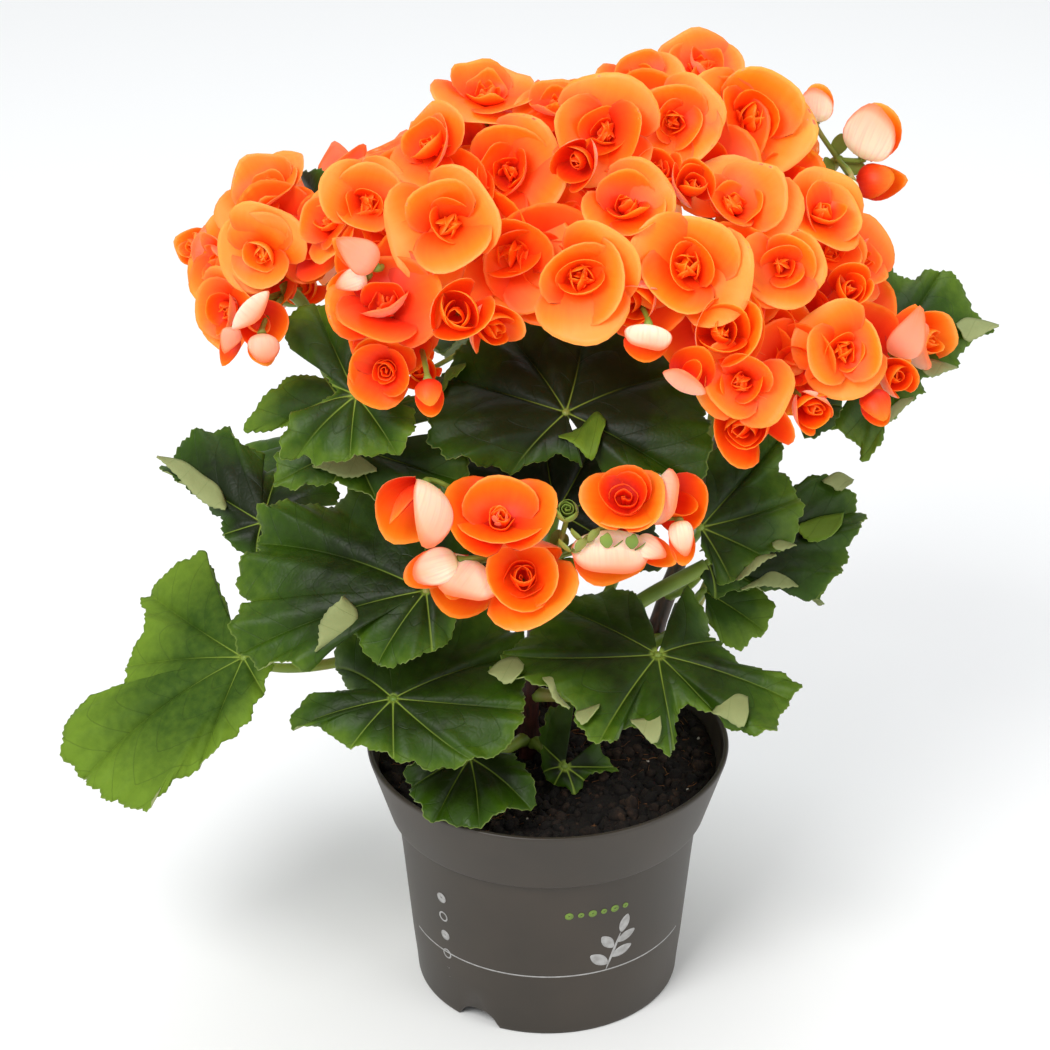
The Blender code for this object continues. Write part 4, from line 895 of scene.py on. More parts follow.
def leafBlade(name, hub, frame, angles, radii, droop, phase):
    # Sheet from a small ring at the hub, point = ring + share*(outline - ring), with teeth and lobules
    # at the rim, sunk main veins, panes puffed between the side veins, and a drooping, ruffled rim
    normal, down, side = frame
    looks = leafLooks.get(name, dict(tone=.04, wave=2.0))
    travelled, line, out = leafOutline(angles, radii)
    theta = np.unwrap(np.arctan2(line[:, 1], line[:, 0]))
    theta = theta + math.tau * np.round((angles[0] - theta[0]) / math.tau)
    random = np.random.default_rng(int(phase * 100) + 3)
    drift = np.interp(travelled, np.linspace(0, travelled[-1], 24), random.uniform(.6, 1.35, 24))
    tooth = 1 - (travelled / leafShape["toothStep"] + 2 * drift) % 1
    lobule = np.abs(np.sin(math.pi * travelled / leafShape["lobuleStep"] + phase + 2 * drift))
    teeth = leafShape["toothDepth"] * drift * (tooth - .5) + leafShape["lobuleDepth"] * drift * (lobule - .6)
    share = (np.linspace(0, 1, leafShape["rows"]) ** .9)[:, None]
    ring = leafShape["innerRadius"] * line / np.linalg.norm(line, axis=1, keepdims=True)
    flat = ring + (line - ring) * share[..., None] + out * (teeth * share ** 12)[..., None]
    radius = np.linalg.norm(flat, axis=-1)
    reach = np.linalg.norm(line, axis=1)

    swayed = theta + leafShape["veinSway"] * np.sin(2.1 * theta + phase) * radius / reach.max()
    distance, count = veinFields(swayed, radius, veinAngles(angles, radii), angles[0], angles[-1])
    off = np.abs(distance)
    rise = leafShape["valley"] * (1 - np.exp(-off / leafShape["valleyWidth"])) * smoothStep(0, .6, share)
    rise = rise - leafShape["groove"] * np.exp(-(off / 1.0) ** 2)
    rise = rise + leafShape["puff"] * np.abs(np.sin(math.pi * count)) ** .8 * smoothStep(0, 5, off)
    turns = math.tau * travelled / leafShape["ruffleStep"] + phase + .9 * np.sin(travelled / 11)
    rise = rise + looks["wave"] * share ** 3 * np.sin(turns)
    frills = math.tau * travelled / leafShape["frillStep"] + 2 * phase
    rise = rise + .3 * looks["wave"] * share ** 7 * np.sin(frills)
    rise = rise + leafShape["ripple"] * reach * np.sin(3 * theta + phase) * share ** 2
    height = rise - droop * share ** 2
    grid = hub + flat[..., :1] * down + flat[..., 1:] * side + height[..., None] * normal
    points, faces = shell(grid, leafShape["thickness"] * (1 - .5 * smoothStep(.9, 1.0, share) + 0 * radius))
    even = 0 * radius
    fields = twoSkins((0.0, 1.0), {"veins": [distance, count, radius / looks.get("glow", .5)],
                                   "blade": [share + even, looks["tone"] + even],
                                   "plane": [flat[..., 0], flat[..., 1], even + 37.0 * phase],
                                   "finish": [even + looks.get("dull", .3), even, even]})
    return [(points, faces, 0, fields)] + [leafFlap(grid, phase, *flap) for flap in looks.get("flaps", ())]


def seenAt(points):  # the pixels of points, and how far each lies from the eye along the camera's axis
    away = -((points - eye) @ toward)
    right, rise = (points - eye) @ across, (points - eye) @ upward
    return np.stack([viewMiddle + viewFocal * right / away, viewMiddle - viewFocal * rise / away], -1), away


def leafFlap(blade, phase, fold, margin, tone, under=1.0):
    # A margin folded back over the blade, drawn between the pixels of its fold and of its free edge. It
    # lies low + rise*(1 - (1 - s)^2) nearer to the eye than the blade's points close by in the picture,
    # with s from fold to edge. Each of those weighs exp(-(its gap - the least gap)/near).
    columns = max(int(np.linalg.norm(np.diff(np.array(fold), axis=0), axis=1).sum() / 2.2), 12)
    first, last = splined(fold, columns), splined(margin, columns)
    run = np.concatenate([[0], np.cumsum(np.linalg.norm(np.diff(last, axis=0), axis=1))])
    out = (last - first) / np.maximum(np.linalg.norm(last - first, axis=1, keepdims=True), 1)
    last = last + out * ((-run / 7.0) % 1 - .5)[:, None] * 2.0
    s = np.linspace(0, 1, flapShape["rows"])[:, None]
    taper = np.sin(math.pi * np.linspace(.03, .97, columns)) ** .4
    pixels = first + (last - first) * (s * taper)[..., None]
    right, down = pixels[..., :1] - viewMiddle, pixels[..., 1:] - viewMiddle
    rays = right * across - down * upward - viewFocal * toward
    places, away = seenAt(blade.reshape(-1, 3))
    gap = np.linalg.norm(pixels[..., None, :] - places, axis=-1)
    weight = np.exp(-(gap - gap.min(axis=-1, keepdims=True)) / flapShape["near"])
    behind = (weight @ away) / weight.sum(axis=-1)
    lift = flapShape["low"] + flapShape["rise"] * (1 - (1 - s) ** 2) + .5 * s * np.sin(run / 9 + phase)
    grid = eye + rays * ((behind - lift) / viewFocal)[..., None]
    if np.mean(surfaceNormals(grid) @ toward) > 0:
        grid, run = grid[:, ::-1], run[::-1]
    points, faces = shell(grid, leafShape["thickness"] * .7)
    even = 0 * grid[..., 0]
    fields = twoSkins((0.0, under), {"veins": [even + 9.0, run / 22 + .5 * s, even + 60.0],
                                     "blade": [.70 + .30 * s ** 3 + even, tone + even],
                                     "plane": [run / 3 + even, 9 * s + even, even + 37.0 * phase],
                                     "finish": [even + .6, even, even]})
    return points, faces, 0, fields


def leafStalk(row, hub, normal):
    # A tapered tube along a cubic curve from inside the stem to the hub
    start, out = besideStem(row["stem"], row["joint"], hub, petioleShape["foot"], petioleShape["room"])
    span = np.linalg.norm(hub - start)
    arrive = hub - normal * .30 * span + unit(start - hub) * .12 * span
    leave = start + out * .35 * span
    path = bezier(start - out * 1.6, leave, arrive, hub + normal * .1, petioleShape["steps"])
    share = np.linspace(0, 1, petioleShape["steps"])
    radii = np.interp(share, petioleShape["shares"], petioleShape["radii"])
    points, faces = tubePath(path, radii, petioleShape["sides"], unit(np.cross(hub - start, normal) + .001))
    return points, faces, 1, {}


def makeLeaves():
    for table, shaped, step in ((leaves, photoLeaf, 1.7), (backLeaves, backLeaf, 2.3)):
        for number, (name, row) in enumerate(table.items()):
            hub, axes, angles, radii, droop = shaped(row)
            parts = leafBlade(name, hub, axes, angles, radii, droop, step * number)
            parts.append(leafStalk(row, hub, axes[0]))
            addPiece(name + "_blade", parts, [leafGreen, stalkGreen], [name])
            joints[row["stem"]].append(row["joint"])


# Blooms
# The blooms of the head stand on this mound, an ellipsoid
mound = dict(centre=np.array([8.0, 10.0, 215.0]), radii=np.array([135.0, 105.0, 130.0]), crowdingStep=1.5,
             crowdingDepth=.42)
# A spray has its fork and where it leaves a stem. A bloom is: pixel right and down, width in pixels, how
# far it faces right and up, its layer from the front, and its kind.
sprays = {
    "spray_far_left": dict(fork=(-88, 2, 272), stem="stem_left", joint=234,
        blooms=[(263, 188, 80, -.45, .50, 1, "open"), (255, 251, 90, -.35, -.15, 0, "open"),
        (218, 262, 80, -.80, .10, 1, "open"), (225, 310, 68, -.70, -.20, 1, "open"),
        (196, 246, 44, -.80, .20, 1, "half"), (258, 318, 54, -.30, -.60, 0, "half"),
        (263, 352, 36, -.10, -.85, 0, "bud"), (231, 344, 28, -.50, -.75, 1, "bud")]),
    "spray_left": dict(fork=(-60, 2, 298), stem="stem_left", joint=241,
        blooms=[(367, 201, 75, .15, .15, 0, "open"), (326, 222, 68, -.60, .20, 1, "open"),
        (352, 251, 50, -.60, -.30, 0, "half"), (347, 281, 34, -.50, -.70, 0, "bud")]),
    "spray_lower_left": dict(fork=(-44, -22, 270), stem="stem_left", joint=227,
        blooms=[(386, 305, 92, -.20, .00, 0, "open"), (385, 371, 68, -.10, -.25, 0, "bowl"),
        (463, 306, 60, -.10, -.10, 0, "half"), (492, 330, 56, .40, -.40, 1, "half"),
        (427, 393, 34, -.10, -.80, 0, "bud")]),
    "spray_upper_left": dict(fork=(-16, 8, 300), stem="stem_front", joint=240,
        blooms=[(429, 146, 72, -.50, .30, 1, "open"), (486, 92, 82, .00, .70, 1, "open"),
        (506, 165, 98, -.20, .15, 1, "open"), (445, 222, 98, -.15, .00, 0, "open"),
        (509, 254, 104, .00, -.05, 0, "open"), (555, 105, 62, -.20, .60, 2, "open")]),
    "spray_top": dict(fork=(42, 26, 314), stem="stem_front", joint=247,
        blooms=[(602, 128, 92, -.20, .05, 0, "open"), (677, 117, 92, -.05, .05, 0, "open"),
        (643, 78, 68, .00, .60, 1, "open"), (696, 56, 62, .10, .70, 2, "open"),
        (767, 123, 100, .25, .15, 0, "open"), (576, 163, 54, -.30, -.30, 2, "half")]),
    "spray_young": dict(fork=(98, 34, 306), stem="stem_right", joint=238,
        blooms=[(815, 110, 36, .05, .95, 1, "bud"), (873, 134, 62, .45, .65, 0, "half"),
        (884, 182, 44, .75, -.40, 0, "half"), (850, 187, 22, -.20, -.70, 0, "bud")]),
    "spray_middle_left": dict(fork=(18, -14, 288), stem="stem_front", joint=231,
        blooms=[(580, 279, 98, -.10, -.10, 0, "open"), (568, 222, 66, -.20, .20, 2, "open"),
        (625, 205, 76, .00, .40, 1, "open"), (643, 245, 56, .00, .10, 2, "open"),
        (632, 300, 48, -.20, -.40, 1, "half"), (643, 343, 48, .05, -.85, 0, "bud"),
        (655, 172, 54, .00, .30, 2, "half")]),
    "spray_middle_right": dict(fork=(62, -6, 294), stem="stem_right", joint=241,
        blooms=[(692, 271, 114, .00, .00, 0, "open"), (746, 200, 92, .10, .45, 1, "open"),
        (693, 183, 50, .10, .30, 1, "half"), (783, 266, 76, .15, -.05, 0, "open"),
        (775, 328, 70, .10, .00, 1, "open"), (727, 328, 56, .15, .10, 0, "half")]),
    "spray_right": dict(fork=(100, 4, 278), stem="stem_right", joint=231,
        blooms=[(825, 213, 72, .40, .40, 1, "open"), (832, 250, 58, .25, .15, 1, "open"),
        (862, 258, 68, .60, .20, 2, "open"), (850, 288, 48, .25, .20, 1, "half"),
        (843, 351, 94, .00, .00, 0, "open"), (907, 326, 72, .60, .20, 1, "open"),
        (896, 377, 48, .25, -.10, 0, "half"), (875, 408, 38, .10, -.70, 1, "bud")]),
    "spray_lower_right": dict(fork=(60, -22, 264), stem="stem_right", joint=215,
        blooms=[(744, 381, 76, -.05, -.10, 0, "open"), (811, 411, 54, .25, -.45, 0, "half"),
        (750, 436, 68, .10, -.55, 0, "half"), (689, 374, 46, -.20, -.55, 0, "half")]),
    "spray_front": dict(fork=(2, -56, 202), stem="stem_front", joint=166, depth=-74,
        blooms=[(424, 512, 72, -.55, -.25, 0, "half"), (432, 564, 58, -.40, -.45, 1, "half"),
        (502, 519, 104, .00, .58, 0, "bowl"), (531, 588, 92, .05, .10, 0, "bowl"),
        (567, 510, 30, .00, .40, 1, "bud"), (611, 568, 74, .15, -.65, 0, "half"),
        (650, 551, 28, .70, -.30, 1, "bud"), (627, 497, 84, .00, .62, 0, "bowl"),
        (688, 502, 62, .62, -.05, 0, "half"), (681, 542, 34, .20, -.75, 1, "bud")]),
}
# On the far side a bloom is: bearing and height on the mound in degrees, width in millimetres, kind
backSprays = {
    "spray_back_left": dict(fork=(-60, 50, 272), stem="stem_back", joint=221, sink=7,
        blooms=[(144, 35, 30, "open"), (150, 15, 31, "open"), (124, 35, 32, "open"), (127, 17, 30, "open")]),
    "spray_crown": dict(fork=(-8, 36, 292), stem="stem_front", joint=249, sink=13,
        blooms=[(140, 46, 32, "open"), (108, 57, 32, "open"), (72, 57, 33, "open")]),
    "spray_back": dict(fork=(6, 82, 286), stem="stem_back", joint=234, blooms=[(104, 40, 32, "open"),
        (84, 36, 33, "open"), (104, 21, 31, "open"), (80, 17, 30, "open"), (66, 3, 28, "open"),
        (93, 2, 20, "half")]),
    "spray_back_right": dict(fork=(74, 54, 282), stem="stem_back", joint=226, blooms=[(60, 28, 32, "open"),
        (44, 44, 32, "open"), (34, 8, 30, "open"), (66, 46, 29, "open"), (54, 8, 21, "half")]),
}
stalkShape = dict(room=.65, foot=2.4, steps=24, sides=12, shares=(0, .08, .5, .92, 1),
                  radii=(2.9, 2.4, 2.0, 2.3, 1.4))
shadeShape = dict(sink=13.0, share=.92, near=1.5, apart=1.15)
bloomShape = dict(scale=1.12, backScale=1.14, shadeScale=1.34, rows=11, columns=15, thickness=.38,
                  rimShare=.35, heartLean=.26)
# The petals of each kind of bloom, as shares of half its width. A layer is: petals, length, half
# width, tilts from the axis along it in degrees, (radius, height) of its foot, how far it wraps
# round the axis, first angle in degrees, depth of colour, how loosely the tilts vary in degrees,
# and how far it follows the heart of the bloom, which leans to one side. Where a kind is "seen",
# its angles are fixed: 0 points to the viewer, or to the top of the picture for seen="up".
bloomKinds = {
    "open": dict(back=-.40, blush=.6, layers=[
        (1, 1.24, 1.04, (44, 68, 82, 84, 76), (.06, -.40), .26, 0, -.16, 12, .0),
        (1, 1.18, .98, (44, 70, 84, 82, 66), (.06, -.39), .28, 168, -.12, 14, .0),
        (1, 1.10, .90, (38, 60, 70, 62, 44), (.06, -.38), .42, 78, -.06, 16, .2),
        (1, .98, .86, (36, 52, 58, 46, 20), (.06, -.37), .50, 250, .02, 16, .3),
        (2, .64, .54, (34, 50, 48, 26, 0), (.07, -.36), .55, 20, .12, 22, .7),
        (5, .44, .25, (30, 42, 28, 0, -24), (.06, -.32), .50, 10, .24, 34, 1.0),
        (5, .30, .17, (14, 24, 8, -16, -34), (.04, -.30), .60, 40, .30, 36, 1.0)]),
    "saucer": dict(back=-.40, blush=.6, layers=[
        (2, 1.20, 1.02, (46, 72, 86, 84, 72), (.06, -.40), .26, 0, -.14, 14, .0),
        (1, 1.12, .98, (40, 66, 78, 70, 52), (.06, -.39), .34, 80, -.10, 14, .1),
        (1, 1.00, .90, (38, 58, 62, 46, 22), (.06, -.38), .48, 235, .00, 16, .3),
        (2, .74, .60, (36, 52, 50, 30, 4), (.07, -.36), .50, 100, .08, 24, .7),
        (5, .46, .26, (32, 44, 32, 4, -20), (.07, -.34), .45, 10, .22, 34, 1.0),
        (5, .30, .17, (16, 26, 8, -14, -34), (.04, -.31), .60, 40, .30, 36, 1.0)]),
    "cup": dict(back=-.42, blush=.6, layers=[
        (2, 1.24, 1.06, (48, 70, 78, 70, 56), (.06, -.42), .44, 0, -.12, 12, .0),
        (1, 1.10, .98, (42, 62, 64, 50, 30), (.06, -.40), .55, 95, -.06, 12, .1),
        (1, .98, .88, (38, 52, 52, 34, 10), (.06, -.38), .62, 240, .06, 14, .4),
        (1, .80, .74, (38, 50, 44, 20, -6), (.06, -.38), .70, 60, .14, 14, .6),
        (5, .50, .28, (36, 44, 28, 0, -22), (.06, -.36), .60, 60, .24, 28, .9),
        (4, .34, .18, (24, 30, 12, -14, -32), (.05, -.33), .60, 0, .32, 30, 1.0)]),
    "bowl": dict(back=-.48, blush=.7, rosette=(.02, .26, -.36, -.06), layers=[
        (2, 1.26, 1.00, (62, 66, 58, 44, 28), (.06, -.46), .80, 0, .02, 10, .0),
        (2, 1.10, .88, (56, 58, 48, 34, 16), (.06, -.43), .85, 90, .08, 10, .2),
        (3, .56, .36, (54, 50, 34, 12, -6), (.05, -.42), .90, 20, .24, 10, .6)]),
    "half": dict(back=-.72, blush=.35, layers=[
        (1, 1.66, 1.06, (82, 52, 26, 14, 14), (.08, -.70), .62, 0, .00, 10, .0),
        (1, 1.48, .98, (82, 50, 20, 4, -2), (.08, -.70), .66, 176, .04, 12, .0),
        (2, 1.28, .80, (66, 42, 16, 4, -4), (.08, -.64), .75, 84, .12, 10, .3),
        (2, 1.00, .52, (46, 30, 10, -4, -14), (.07, -.56), .85, 30, .22, 10, .7),
        (3, .82, .28, (26, 20, 4, -8, -20), (.05, -.48), .90, 70, .30, 12, 1.0)]),
    "wideBowl": dict(back=-.48, blush=.8, seen="up", rosette=(.02, .24, -.36, -.10), layers=[
        (1, 1.26, 1.06, (66, 72, 64, 50, 38), (.06, -.46), .50, 92, .18, 2, .0),
        (1, 1.26, 1.06, (66, 72, 64, 50, 38), (.06, -.46), .50, 270, .08, 2, .0),
        (1, .96, 1.06, (62, 70, 66, 54, 40), (.06, -.44), .50, 181, -.06, 2, .0),
        (1, .98, 1.06, (64, 60, 40, 14, -6), (.06, -.44), .60, 4, -.02, 2, .0),
        (6, .34, .18, (50, 40, 20, 0, -20), (.04, -.40), .80, 20, .02, 18, .6)]),
    "roseBowl": dict(back=-.48, blush=.8, core=.56, seen="up", rosette=(.02, .46, -.38, -.04), layers=[
        (1, 1.24, 1.06, (66, 74, 70, 60, 50), (.06, -.46), .45, 102, -.06, 2, .0),
        (1, 1.20, 1.06, (66, 74, 70, 60, 50), (.06, -.46), .45, 262, -.04, 2, .0),
        (1, 1.06, 1.06, (62, 72, 72, 64, 54), (.06, -.44), .50, 182, -.02, 2, .0),
        (1, 1.02, 1.00, (60, 60, 46, 28, 14), (.06, -.43), .80, 0, .34, 2, .0),
        (2, .98, .96, (56, 56, 42, 24, 8), (.05, -.42), .85, 110, .46, 2, .0)]),
    "frontCup": dict(back=-.48, blush=.35, core=.52, seen="up", rosette=(.02, .38, -.36, -.06), layers=[
        (1, 1.26, 1.12, (70, 74, 64, 48, 30), (.06, -.46), .50, 210, -.16, 2, .0),
        (1, 1.46, .98, (76, 66, 30, -16, -40), (.06, -.46), .50, 4, -.06, 2, .0),
        (1, 1.06, 1.00, (62, 58, 44, 30, 20), (.06, -.44), .75, 285, -.04, 2, .0),
        (1, 1.08, 1.04, (58, 56, 44, 28, 20), (.06, -.42), .80, 120, -.04, 2, .0),
        (3, .58, .40, (44, 36, 20, 2, -12), (.05, -.38), .90, 60, .36, 9, .5)]),
    "clam": dict(back=-.62, blush=.04, seen="front", point=.12, base=.46, layers=[
        (1, 1.60, 1.26, (84, 54, 18, -2, -16), (.08, -.62), .50, 180, .30, 2, .0),
        (1, 1.82, 1.14, (88, 62, 20, -4, -18), (.08, -.62), .50, 0, .00, 2, .0)]),
    "peachClam": dict(back=-.62, blush=.16, seen="front", point=.55, base=.40, layers=[
        (1, 1.84, 1.10, (84, 58, 30, 6, -10), (.08, -.62), .60, 162, .04, 2, .0),
        (1, 2.20, .84, (82, 48, 14, -6, -22), (.08, -.62), .60, -36, .00, 2, .0),
        (1, 1.50, .72, (70, 44, 16, 0, -10), (.07, -.56), .80, 80, .22, 4, .2)]),
    "openClam": dict(back=-.62, blush=.10, seen="front", point=.30, base=.46, layers=[
        (1, 1.80, 1.02, (84, 58, 28, 4, -12), (.08, -.62), .60, 176, .24, 2, .0),
        (1, 1.86, 1.04, (86, 58, 20, -4, -20), (.08, -.62), .50, 0, .00, 2, .0),
        (1, 1.30, .80, (64, 44, 16, -4, -16), (.07, -.56), .85, 120, .22, 6, .4)]),
    "slimClam": dict(back=-.62, blush=.10, seen="front", point=.50, base=.42, layers=[
        (1, 2.30, .74, (80, 40, 10, -8, -16), (.08, -.62), .75, 180, .10, 2, .0),
        (1, 2.20, .78, (82, 40, 6, -12, -26), (.08, -.62), .75, 0, .00, 2, .0)]),
    "closed": dict(back=-.80, blush=.04, seen="front", point=.36, base=.40, layers=[
        (1, 2.10, .98, (86, 44, 8, -12, -28), (.08, -.78), .70, 168, -.06, 2, .0),
        (1, 2.18, 1.00, (86, 44, 6, -14, -32), (.08, -.78), .70, -14, .02, 2, .0)]),
    "roseBud": dict(back=-.80, blush=.30, seen="up", rosette=(.04, .46, -.30, .42), layers=[
        (4, 1.40, .70, (84, 52, 20, -6, -20), (.08, -.74), .95, 30, -.10, 6, .0)]),
    # The dim blooms between neighbours: their deep tones are painted shade
    "shade": dict(back=-.40, blush=.8, layers=[
        (3, 1.10, .92, (44, 66, 72, 60, 40), (.06, -.40), .50, 0, .16, 16, .0),
        (3, .74, .50, (40, 52, 46, 26, 4), (.05, -.36), .85, 60, .26, 14, .5)]),
}
bloomKinds["coralBud"] = {**bloomKinds["slimClam"], "blush": .95, "point": .60, "layers": [
    (1, 2.16, .84, (82, 44, 8, -12, -26), (.08, -.68), .78, 180, .30, 2, .0),
    (1, 2.06, .88, (84, 44, 4, -16, -32), (.08, -.68), .78, 0, .24, 2, .0)]}
bloomKinds["pinkBud"] = {**bloomKinds["coralBud"], "blush": .72, "point": .85, "layers": [
    (1, 2.34, .72, (82, 44, 10, -8, -18), (.08, -.66), .75, 180, .22, 2, .0),
    (1, 2.26, .76, (84, 44, 6, -12, -24), (.08, -.66), .75, 0, .06, 2, .0)]}
bloomKinds["pinkClosed"] = {**bloomKinds["closed"], "blush": .50}
bloomKinds["pinkClam"] = {**bloomKinds["openClam"], "blush": .50}
openKinds = ("open", "saucer", "cup")  # an open bloom takes each of these in turn
# The blooms whose outline can be read one by one: what the scene makes of each, as kind, facing
# right, facing up, scale, and how far it shifts right and up in pixels
seenBlooms = {
    (502, 519): ("wideBowl", .02, .60, .98, -1, 8), (627, 497): ("roseBowl", -.04, .50, .93, -2, 2),
    (531, 588): ("frontCup", .04, .20, 1.10, -8, 12), (424, 512): ("peachClam", -.26, -.86, 1.12, -6, 6),
    (432, 564): ("slimClam", -.93, -.30, 1.00, 8, -2), (611, 568): ("clam", .06, -.985, 1.02, 0, 14),
    (688, 502): ("openClam", .66, -.14, 1.12, -12, 2), (567, 510): ("roseBud", .00, .30, 1.25, 0, 0),
    (650, 551): ("slimClam", .80, -.48, 1.50, -2, 4), (681, 542): ("slimClam", .12, -.92, 1.20, 0, 8),
    (470, 588): ("openClam", -.52, -.74, 1.20, -5, 6), (643, 343): ("clam", -.10, -.94, .94, 4, 3),
    (873, 134): ("closed", .34, .84, 1.06, 0, 0), (815, 110): ("closed", .05, .97, 1.10, 2, 4),
    (884, 182): ("coralBud", .94, .04, 1.15, -10, 0), (850, 187): ("slimClam", -.20, -.90, 1.10, 0, 0),
    (258, 318): ("openClam", .55, -.50, 1.05, 0, 0), (263, 352): ("pinkClosed", .10, -.95, 1.00, 0, 4),
    (231, 344): ("pinkBud", -.30, -.88, 1.30, 0, 4), (347, 281): ("slimClam", -.88, -.30, 1.15, 8, 0),
    (352, 251): ("pinkBud", -.80, .56, 1.10, 10, -8),
    (427, 393): ("coralBud", .10, -.90, 1.20, 2, 0), (875, 408): ("coralBud", .30, -.85, 1.10, 0, 4),
    (463, 306): ("half", .05, .05, 1.35, -4, -4), (386, 305): ("saucer", -.10, .48, 1.16, 0, 2),
    (907, 326): ("pinkBud", .30, .90, .84, -2, -12), (918, 350): ("half", .70, -.10, 1.30, 2, 4),
    (689, 374): ("pinkClam", .30, .60, 1.20, 0, 0), (750, 436): ("half", -.05, -.35, 1.36, 0, 8),
}
# Pixels of green scales among the front blooms, and the thick stalk behind them
frontBracts = ((632, 548), (586, 540), (574, 550), (608, 547))
frontLimb = dict(pixels=((618, 616), (656, 592), (706, 566)), depths=(-8, -6, 0), radius=2.7)
# How some blooms differ once they are clear of their neighbours: how far they move right and up in
# pixels, their scale, and how far they come nearer in millimetres
bloomShifts = {(767, 123): (-14, 5, 1.0, 0), (602, 128): (0, -4, 1.0, 0), (843, 351): (0, 2, .82, 0),
               (692, 271): (-2, 2, .92, 0), (727, 328): (-4, -4, 1.25, 8), (632, 300): (2, -4, 1.3, 8),
               (783, 266): (2, 0, .90, 0), (677, 117): (-3, -3, .86, 0), (746, 200): (-8, -2, 1.0, 0),
               (255, 251): (4, 0, .84, 0), (506, 165): (0, -5, 1.0, 0), (696, 56): (6, -7, 1.1, 0),
               (352, 251): (0, 0, 1.0, 12), (347, 281): (0, 0, 1.0, 4), (918, 350): (0, 0, 1.0, 14)}
# How much deeper or paler than its kind each bloom is, where the photograph tells
bloomTones = {(386, 305): .36, (385, 371): .14, (568, 222): .14, (463, 306): -.02, (576, 163): .12,
              (602, 128): .05, (263, 188): -.12, (255, 251): -.14, (445, 222): -.05, (677, 117): -.05,
              (767, 123): -.03, (692, 271): -.07, (746, 200): -.06, (506, 165): -.03, (509, 254): .10,
              (580, 279): .03, (625, 205): .07, (727, 328): .08, (783, 266): .03, (744, 381): .03,
              (811, 411): .06, (326, 222): .06, (843, 351): -.03, (907, 326): .04, (750, 436): .06}
# Blooms that only the scene adds, beside others whose solids leave no room: spray, pixel, width, kind, depth
extraBlooms = [("spray_front", (470, 588), 62, "clam", -70), ("spray_right", (918, 350), 50, "half", 16),
               ("spray_far_left", (306, 286), 44, "half", 24),
               ("spray_middle_left", (420, 372), 46, "half", 10)]


def onMound(pixel):  # where the line of sight first meets the mound, or its nearest point if it misses
    line = sight(pixel) / mound["radii"]
    start = (eye - mound["centre"]) / mound["radii"]
    square, half, rest = line @ line, line @ start, start @ start - 1.0
    return eye + sight(pixel) * (-half - math.sqrt(max(half * half - square * rest, 0.0))) / square


def crowd(middle, size, facing, otherMiddle, otherSize, otherFacing):
    # Whether two blooms touch, each taken as a flat cushion across the way it faces
    apart = otherMiddle - middle
    axis = unit(facing + otherFacing)
    deep = apart @ axis
    wide = np.linalg.norm(apart - axis * deep)
    reach = size + otherSize
    return (wide / reach) ** 2 + (deep / (mound["crowdingDepth"] * reach)) ** 2 < 1


def bloomPlaces():
    # Each spray's blooms as (spray, middle, facing, half width, kind, shade, pixel), stepped back until clear
    waiting = []
    for name, spray in sprays.items():
        for right, down, width, turn, rise, layer, kind in spray["blooms"]:
            facing = turn * across + rise * upward + math.sqrt(max(1 - turn ** 2 - rise ** 2, 0)) * toward
            pixel = (right, down)
            middle = atDepth(pixel, spray["depth"]) if "depth" in spray else onMound(pixel)
            size = width / viewFocal * np.linalg.norm(middle - eye) / 2
            waiting.append((layer, name, middle, unit(facing), size, kind, sight(pixel), pixel))
    for name, spray in backSprays.items():
        for bearing, height, width, kind in spray["blooms"]:
            turn, rise = math.radians(bearing), math.radians(height)
            way = np.array([math.cos(turn) * math.cos(rise), math.sin(turn) * math.cos(rise), math.sin(rise)])
            facing = unit(way / mound["radii"])
            middle = mound["centre"] + way * mound["radii"] - facing * spray.get("sink", 0)
            waiting.append((3, name, middle, facing, width / 2, kind, -facing, None))
    placed = []
    for layer, name, middle, facing, size, kind, retreat, pixel in sorted(waiting, key=lambda row: row[0]):
        while any(crowd(middle, size, facing, other[1], other[3], other[2]) for other in placed):
            middle = middle + retreat * mound["crowdingStep"]
        # Painted shade: blooms take 0.05 more for each layer further back, and those on the far side 0.05
        placed.append((name, middle, facing, size, kind, .05 * (layer if layer < 3 else 1), pixel))
    for name, pixel, width, kind, depth in extraBlooms:
        middle = atDepth(pixel, depth)
        size = width / viewFocal * np.linalg.norm(middle - eye) / 2
        placed.append((name, middle, toward, size, kind, .0, pixel))
    return placed


def shadeBlooms(places):
    # Dim blooms, deepened by painted shade, that fill the gaps between neighbours: one behind the middle
    # of each pair, sunk into the mound, unless another stands near it already
    head = [place for place in places
            if place[0] != "spray_front" and place[4] in ("open", "bowl") and place[6]]
    made = []
    for number, (name, middle, facing, size, _, _, _) in enumerate(head):
        for _, otherMiddle, otherFacing, otherSize, _, _, _ in head[number + 1:]:
            apart = np.linalg.norm(otherMiddle - middle)
            way = unit(facing + otherFacing)
            spot = (middle + otherMiddle) / 2 - way * shadeShape["sink"]
            reach = shadeShape["share"] * (size + otherSize) / 2
            clear = all(np.linalg.norm(spot - other[1]) > shadeShape["apart"] * reach for other in made)
            if apart < shadeShape["near"] * (size + otherSize) and clear:
                made.append((name, spot, way, reach, "shade", .10, None))
    return made


